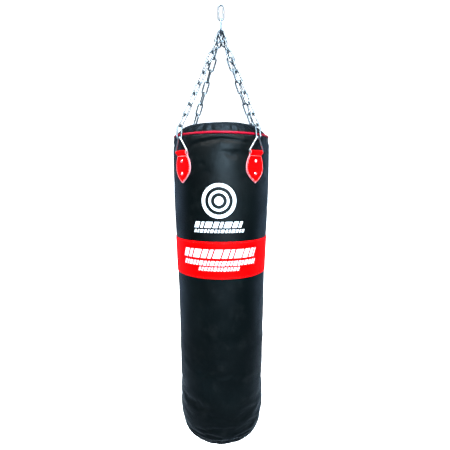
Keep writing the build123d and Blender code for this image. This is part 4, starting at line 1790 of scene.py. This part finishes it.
# ------------------------------------------------------------------ print
@dataclass
class FrontPrint:
    """White ink on the front: a plain target roundel and rows of slanted bars."""

    turn: float = -92.0
    ink: float = 0.3 * MM
    sunk: float = 0.6 * MM
    cell: float = 2.4 * MM
    roundel_drop: float = 0.222
    roundel: Sequence[tuple[float, float]] = ((47, 59), (27, 35), (1, 15))
    wall_rows: Sequence[tuple] = (
        (90, 0.314, 0.293, (17, 10, 24), 5.5), (91, 0.331, 0.320, (8, 5.5, 11), 4.2),
    )
    band_rows: Sequence[tuple] = (
        (143, 0.058, 0.027, (19, 12, 27), 6), (141, 0.085, 0.068, (9, 6, 13), 4.5),
        (77, 0.104, 0.091, (7, 5.5, 10), 4.2),
    )

    def place(self, side: float, z: float, surface: Surface) -> Vector:
        """Point on the ink's face at a sideways distance from the print's middle."""
        angle = math.radians(self.turn) + side / BAG_RADIUS
        return at_angle(angle, surface(angle, z) + self.ink, z)

    def patch(
        self, rows: int, columns: int, at: Callable[[float, float], tuple[float, float]],
        surface: Surface, closed: bool,
    ) -> Patch:
        """Thin closed patch of ink over a grid.

        Args:
            rows: steps one way.
            columns: steps the other way.
            at: sideways distance and height at two shares.
            surface: radius of what it is printed on.
            closed: whether the columns run round to meet themselves.

        Returns:
            The patch's points and faces.
        """
        points: list[Vector] = []
        wide = columns if closed else columns + 1
        for depth in (0.0, -self.sunk):
            for row in range(rows + 1):
                for column in range(wide):
                    side, z = at(row / rows, column / columns)
                    spot = self.place(side, z, surface)
                    flat = Vector((spot.x, spot.y, 0)).normalized() * depth
                    points.append(spot + flat)
        layer = (rows + 1) * wide
        faces: list[Face] = []
        for row in range(rows):
            for column in range(columns):
                following = (column + 1) % wide
                a, b = row * wide + column, row * wide + following
                c, d = (row + 1) * wide + following, (row + 1) * wide + column
                faces.append((a, b, c, d))
                faces.append((layer + d, layer + c, layer + b, layer + a))
        for column in range(columns):
            following = (column + 1) % wide
            top, low = column, rows * wide + column
            faces.append((layer + top, layer + following, following, top))
            faces.append((low, rows * wide + following, layer + rows * wide + following, layer + low))
        if not closed:
            for row in range(rows):
                left, below = row * wide, (row + 1) * wide
                faces.append((left, below, layer + below, layer + left))
                right, under = left + columns, below + columns
                faces.append((layer + right, layer + under, under, right))
        return points, faces

    def build_from(self, name: str, patches: Sequence[Patch], slot: str) -> None:
        """Join patches of ink into one piece.

        Args:
            name: the piece's name.
            patches: points and faces of each patch.
            slot: its material slot.
        """
        points: list[Vector] = []
        faces: list[Face] = []
        for more_points, more_faces in patches:
            start = len(points)
            points += more_points
            faces += [tuple(number + start for number in face) for face in more_faces]
        piece = mesh_object(name, np.array([tuple(p) for p in points]), faces, Finish.INK, smooth=False)
        settle(piece, BAG_BODY, slot)

    def ring_patch(self, inner: float, outer: float, middle_z: float, surface: Surface) -> Patch:
        """Round ring of ink.

        Args:
            inner: inner radius, in metres.
            outer: outer radius, in metres.
            middle_z: height of the ring's middle.
            surface: radius of what the ink is printed on, by angle and height.

        Returns:
            Its points and faces.
        """
        rows = max(2, round((outer - inner) / self.cell))
        columns = max(40, round(TAU * outer / self.cell))

        def at(row: float, column: float) -> tuple[float, float]:
            """Place on the ring."""
            r = inner + (outer - inner) * row
            return r * math.sin(TAU * column), middle_z + r * math.cos(TAU * column)

        return self.patch(rows, columns, at, surface, True)

    def bar_patch(
        self, left: float, right: float, low: float, high: float, slant: float, surface: Surface
    ) -> Patch:
        """Slanted bar of ink.

        Args:
            left: left end of its foot.
            right: right end of its foot.
            low: height of its foot.
            high: height of its top.
            slant: sideways lean from foot to top.
            surface: radius of what the ink is printed on, by angle and height.

        Returns:
            Its points and faces.
        """
        columns = max(2, round((right - left) / self.cell))
        rows = max(2, round((high - low) / self.cell))

        def at(row: float, column: float) -> tuple[float, float]:
            """Place on the bar."""
            return left + (right - left) * column + slant * (1 - row), high + (low - high) * row

        return self.patch(rows, columns, at, surface, False)

    def bar_row(
        self, half: float, low: float, high: float, widths: Sequence[float], gap: float, surface: Surface
    ) -> list[Patch]:
        """Row of slanted bars, widths in a repeating order, centred on the print's middle.

        Args:
            half: half the row's width.
            low: height of the bars' feet.
            high: height of the bars' tops.
            widths: widths of the bars, taken in turn.
            gap: distance between bars.
            surface: radius of what the ink is printed on, by angle and height.

        Returns:
            Points and faces of each bar.
        """
        bars = []
        slant = (high - low) * 0.35
        left = -half
        index = 0
        while left < half - slant - 2 * MM:
            right = min(left + widths[index % len(widths)], half - slant)
            bars.append(self.bar_patch(left, right, low, high, slant, surface))
            left = right + gap
            index += 1
        return bars

    def build(self) -> None:
        """Print the roundel on the wall and the rows of bars on the wall and the band."""
        wall, band = FORM.radius, TRIM.band_radius
        wall_print = [
            self.ring_patch(inner * MM, outer * MM, RIM_Z - self.roundel_drop, wall)
            for inner, outer in self.roundel
        ]
        for half, low, high, widths, gap in self.wall_rows:
            sizes = [width * MM for width in widths]
            wall_print += self.bar_row(half * MM, RIM_Z - low, RIM_Z - high, sizes, gap * MM, wall)
        band_print = []
        for half, low, high, widths, gap in self.band_rows:
            sizes = [width * MM for width in widths]
            low_z, high_z = BAND_HIGH_Z - low, BAND_HIGH_Z - high
            band_print += self.bar_row(half * MM, low_z, high_z, sizes, gap * MM, band)
        self.build_from("print_roundel", wall_print, "black_leather")
        self.build_from("print_band_bars", band_print, "red_leather")


# ------------------------------------------------------------------ chains
@dataclass
class Chain:
    """Long-link chain, each link where its CAD solid is."""

    node: str
    body: str = BAG_BODY
    link_length: float = 48.0 * MM
    link_width: float = 18.0 * MM
    wire: float = 3.0 * MM

    def link_places(self) -> list[tuple[Vector, Vector, Vector]]:
        """Middle, length direction and facing direction of each of the node's links.

        Returns:
            One entry for each link, from the tab up.
        """
        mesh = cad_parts[self.node].data
        count = len(mesh.vertices)
        points = np.empty(count * 3)
        mesh.vertices.foreach_get("co", points)
        points = points.reshape(-1, 3)
        keys, first = np.unique(np.round(points * 1e5).astype(np.int64), axis=0, return_inverse=True)
        first = first.reshape(-1)
        owner = np.arange(len(keys))
        edges = np.empty(len(mesh.edges) * 2, dtype=np.int64)
        mesh.edges.foreach_get("vertices", edges)
        pairs = first[edges.reshape(-1, 2)]
        while True:
            low = np.minimum(owner[pairs[:, 0]], owner[pairs[:, 1]])
            fresh = owner.copy()
            np.minimum.at(fresh, pairs[:, 0], low)
            np.minimum.at(fresh, pairs[:, 1], low)
            fresh = fresh[fresh]
            if np.array_equal(fresh, owner):
                break
            owner = fresh
        spots = keys * 1e-5
        found = []
        for name in np.unique(owner):
            cloud = spots[owner == name]
            low, high = cloud.min(axis=0), cloud.max(axis=0)
            middle = cloud.mean(axis=0)
            for _ in range(3):
                spread = np.linalg.svd(cloud - middle, full_matrices=False)[2]
                local = (cloud - middle) @ spread.T
                middle = middle + ((local.max(axis=0) + local.min(axis=0)) / 2) @ spread
            if np.linalg.norm(high - low) > 0.03:
                found.append((Vector(middle), Vector(spread[0]), Vector(spread[2])))
        return found

    def build(self) -> bpy.types.Object:
        """Make the links.

        Returns:
            The piece.
        """
        links = self.link_places()
        piece = copies_piece(
            f"{self.node}_wire", "chain_links", [link[0] for link in links], [link[1] for link in links],
            [link[2] for link in links], Finish.ZINC,
            Link_Length=self.link_length, Link_Width=self.link_width, Wire_Radius=self.wire,
        )
        settle(piece, self.body, "zinc_wire", self.node)
        return piece


@dataclass
class KeptParts:
    """CAD pieces whose shape is already right: they only get their finish."""

    def dress(self) -> None:
        """Give each kept node its finish."""
        kinds = {
            "tab_ring": Finish.RING_STEEL, "gathering_ring": Finish.ZINC, "tab_rivets": Finish.NICKEL,
            "rivet_washers": Finish.PLAIN_STEEL, "tab_backing": Finish.RAW_HIDE, "foam_sleeve": Finish.FOAM,
            "top_pad": Finish.FOAM, "base_pad": Finish.FOAM, "canvas_liner": Finish.CANVAS,
            "filling_core": Finish.CUTTINGS,
        }
        for name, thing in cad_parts.items():
            for start, kind in kinds.items():
                if name.startswith(start):
                    thing.data.materials.clear()
                    thing.data.materials.append(finish_of(kind))
                    log.info("%s: %s", name, kind.name)


# ------------------------------------------------------------------ studio
@dataclass
class Studio:
    """Pale floor and backdrop, soft lights and the camera."""

    lens: float = 28.0
    distance: float = 1.36
    below_rim: float = 0.1484
    pitch: float = 11.05
    shift_up: float = 0.0489
    side: float = 0.0144
    wall_y: float = 2.2
    floor_gap: float = 0.35
    half_width: float = 9.0
    backdrop_glow: float = 1.02
    floor_glow: float = 0.7

    def build_floor(self) -> None:
        """Wide pale floor under the bag."""
        floor_z = BASE_Z - self.floor_gap
        self.stage_sheet("studio_floor", [(-7.0, floor_z), (self.wall_y, floor_z)], 0.0)

    def build_backdrop(self) -> None:
        """Lit paper that curves up from the floor behind the bag."""
        floor_z = BASE_Z - self.floor_gap
        curve, steps = 1.2, 16
        profile = [(self.wall_y, floor_z)]
        for step in range(1, steps + 1):
            turn = math.pi / 2 * step / steps
            profile.append((self.wall_y + curve * math.sin(turn), floor_z + curve * (1 - math.cos(turn))))
        profile.append((self.wall_y + curve, floor_z + 7.0))
        self.stage_sheet("studio_backdrop", profile, self.backdrop_glow)

    def stage_sheet(self, name: str, profile: list[tuple[float, float]], glow: float) -> None:
        """Make a stage sheet that runs along X.

        Args:
            name: the sheet's name.
            profile: its line in Y and Z.
            glow: how strongly it gives light itself.
        """
        points = [(x, y, z) for y, z in profile for x in (-self.half_width, self.half_width)]
        faces = [(row * 2, row * 2 + 1, row * 2 + 3, row * 2 + 2) for row in range(len(profile) - 1)]
        material, tools, shader, _ = start_material(f"{name}_paper")
        seen = tools.add("ShaderNodeLightPath").outputs["Is Camera Ray"]
        tools.put(shader.inputs["Base Color"], tools.mix(seen, (0.22, 0.26, 0.3, 1), (0.93, 0.93, 0.93, 1)))
        shader.inputs["Roughness"].default_value = 0.95
        shader.inputs["Specular IOR Level"].default_value = 0.0
        cast = (0.26, 0.38, 0.56, 1) if glow else (0, 0, 0, 1)
        tools.put(shader.inputs["Emission Color"], tools.mix(seen, cast, (1, 1, 1, 1)))
        shader.inputs["Emission Strength"].default_value = glow or self.floor_glow
        mesh = bpy.data.meshes.new(name)
        mesh.from_pydata(points, [], faces)
        mesh.materials.append(material)
        sheet = bpy.data.objects.new(name, mesh)
        bpy.context.scene.collection.objects.link(sheet)

    def add_light(
        self, name: str, place: Sequence[float], aim: Sequence[float], size: Sequence[float],
        power: float, colour: Colour = (1.0, 1.0, 1.0), spread: float = 180.0,
    ) -> None:
        """Add a soft rectangular light that points at a place.

        Args:
            name: the light's name.
            place: where it stands.
            aim: what it points at.
            size: its two sides, in metres.
            power: its power, in watts.
            colour: its colour.
            spread: its spread, in degrees.
        """
        data = bpy.data.lights.new(name, "AREA")
        data.shape = "RECTANGLE"
        data.size, data.size_y = size
        data.energy = power
        data.color = colour
        data.spread = math.radians(spread)
        lamp = bpy.data.objects.new(name, data)
        lamp.location = place
        lamp.rotation_euler = (Vector(aim) - Vector(place)).to_track_quat("-Z", "Y").to_euler()
        bpy.context.scene.collection.objects.link(lamp)

    def build_lights(self) -> None:
        """Two high front lights, a dim window in front, cool strips behind and a floor wash."""
        rim, middle, low = RIM_Z, (0.0, 0.0, RIM_Z - 0.45), (0.0, 0.0, RIM_Z - 0.75)
        cool, blue = (0.5, 0.74, 1.0), (0.46, 0.68, 1.0)
        self.add_light("high_left", (-1.3, -2.0, rim + 1.9), low, (1.2, 1.2), 23.0, spread=58.0)
        self.add_light("high_right", (1.5, -1.9, rim + 1.9), low, (1.2, 1.2), 23.0, spread=58.0)
        self.add_light(
            "front_window", (0.62, -3.0, rim + 0.22), middle, (0.85, 0.6), 38.0, (0.55, 0.8, 1.0), 60.0
        )
        self.add_light("left_strip", (-1.9, 1.1, rim - 0.8), low, (0.5, 2.6), 16.0, blue)
        self.add_light("right_strip", (1.9, 1.0, rim - 0.8), low, (0.6, 2.6), 16.0, blue)
        self.add_light("floor_wash", (0.0, 1.5, rim + 1.4), (0.0, 1.6, BASE_Z), (3.2, 1.4), 90.0, spread=80.0)
        self.add_light("overhead", (0.1, -0.2, rim + 2.0), (0.1, 0.0, rim), (1.0, 0.7), 14.0, cool, 60.0)
        world = bpy.data.worlds.new("studio_surround")
        world.use_nodes = True
        tools = Nodes(world.node_tree)
        surround = world.node_tree.nodes["Background"]
        seen = tools.add("ShaderNodeLightPath").outputs["Is Camera Ray"]
        tools.put(surround.inputs[0], tools.mix(seen, (0.05, 0.055, 0.06, 1), (1, 1, 1, 1)))
        bpy.context.scene.world = world
        bpy.context.scene.view_settings.view_transform = "Standard"

    def build_camera(self) -> None:
        """Camera at the viewing angle, a little below the rim."""
        data = bpy.data.cameras.new("camera")
        data.lens = self.lens
        data.sensor_width = 36.0
        data.shift_y = self.shift_up
        camera = bpy.data.objects.new("camera", data)
        camera.location = (self.side, -self.distance, RIM_Z - self.below_rim)
        camera.rotation_euler = (math.radians(90 - self.pitch), 0.0, 0.0)
        bpy.context.scene.collection.objects.link(camera)
        bpy.context.scene.camera = camera


# ------------------------------------------------------------------ everything in order
def main() -> None:
    """Build every sub-assembly and report each piece."""
    logging.basicConfig(level=logging.INFO, format="%(name)s %(message)s")
    studio = Studio()
    studio.build_camera()
    studio.build_floor()
    studio.build_backdrop()
    studio.build_lights()
    FORM.fill_skin()
    case = LeatherCase()
    case.build_wall()
    case.build_lid()
    case.build_base()
    TRIM.build_piping()
    TRIM.build_band()
    CaseStitches().build()
    for side in TAB_SIDES:
        tab = AnchorTab(side)
        tab.build_strap()
        tab.build_stitches()
    FrontPrint().build()
    for side in TAB_SIDES:
        Chain(f"leg_chain_{side}").build()
    Chain("top_link", "top_link").build()
    KeptParts().dress()


if __name__ == "__main__":
    main()
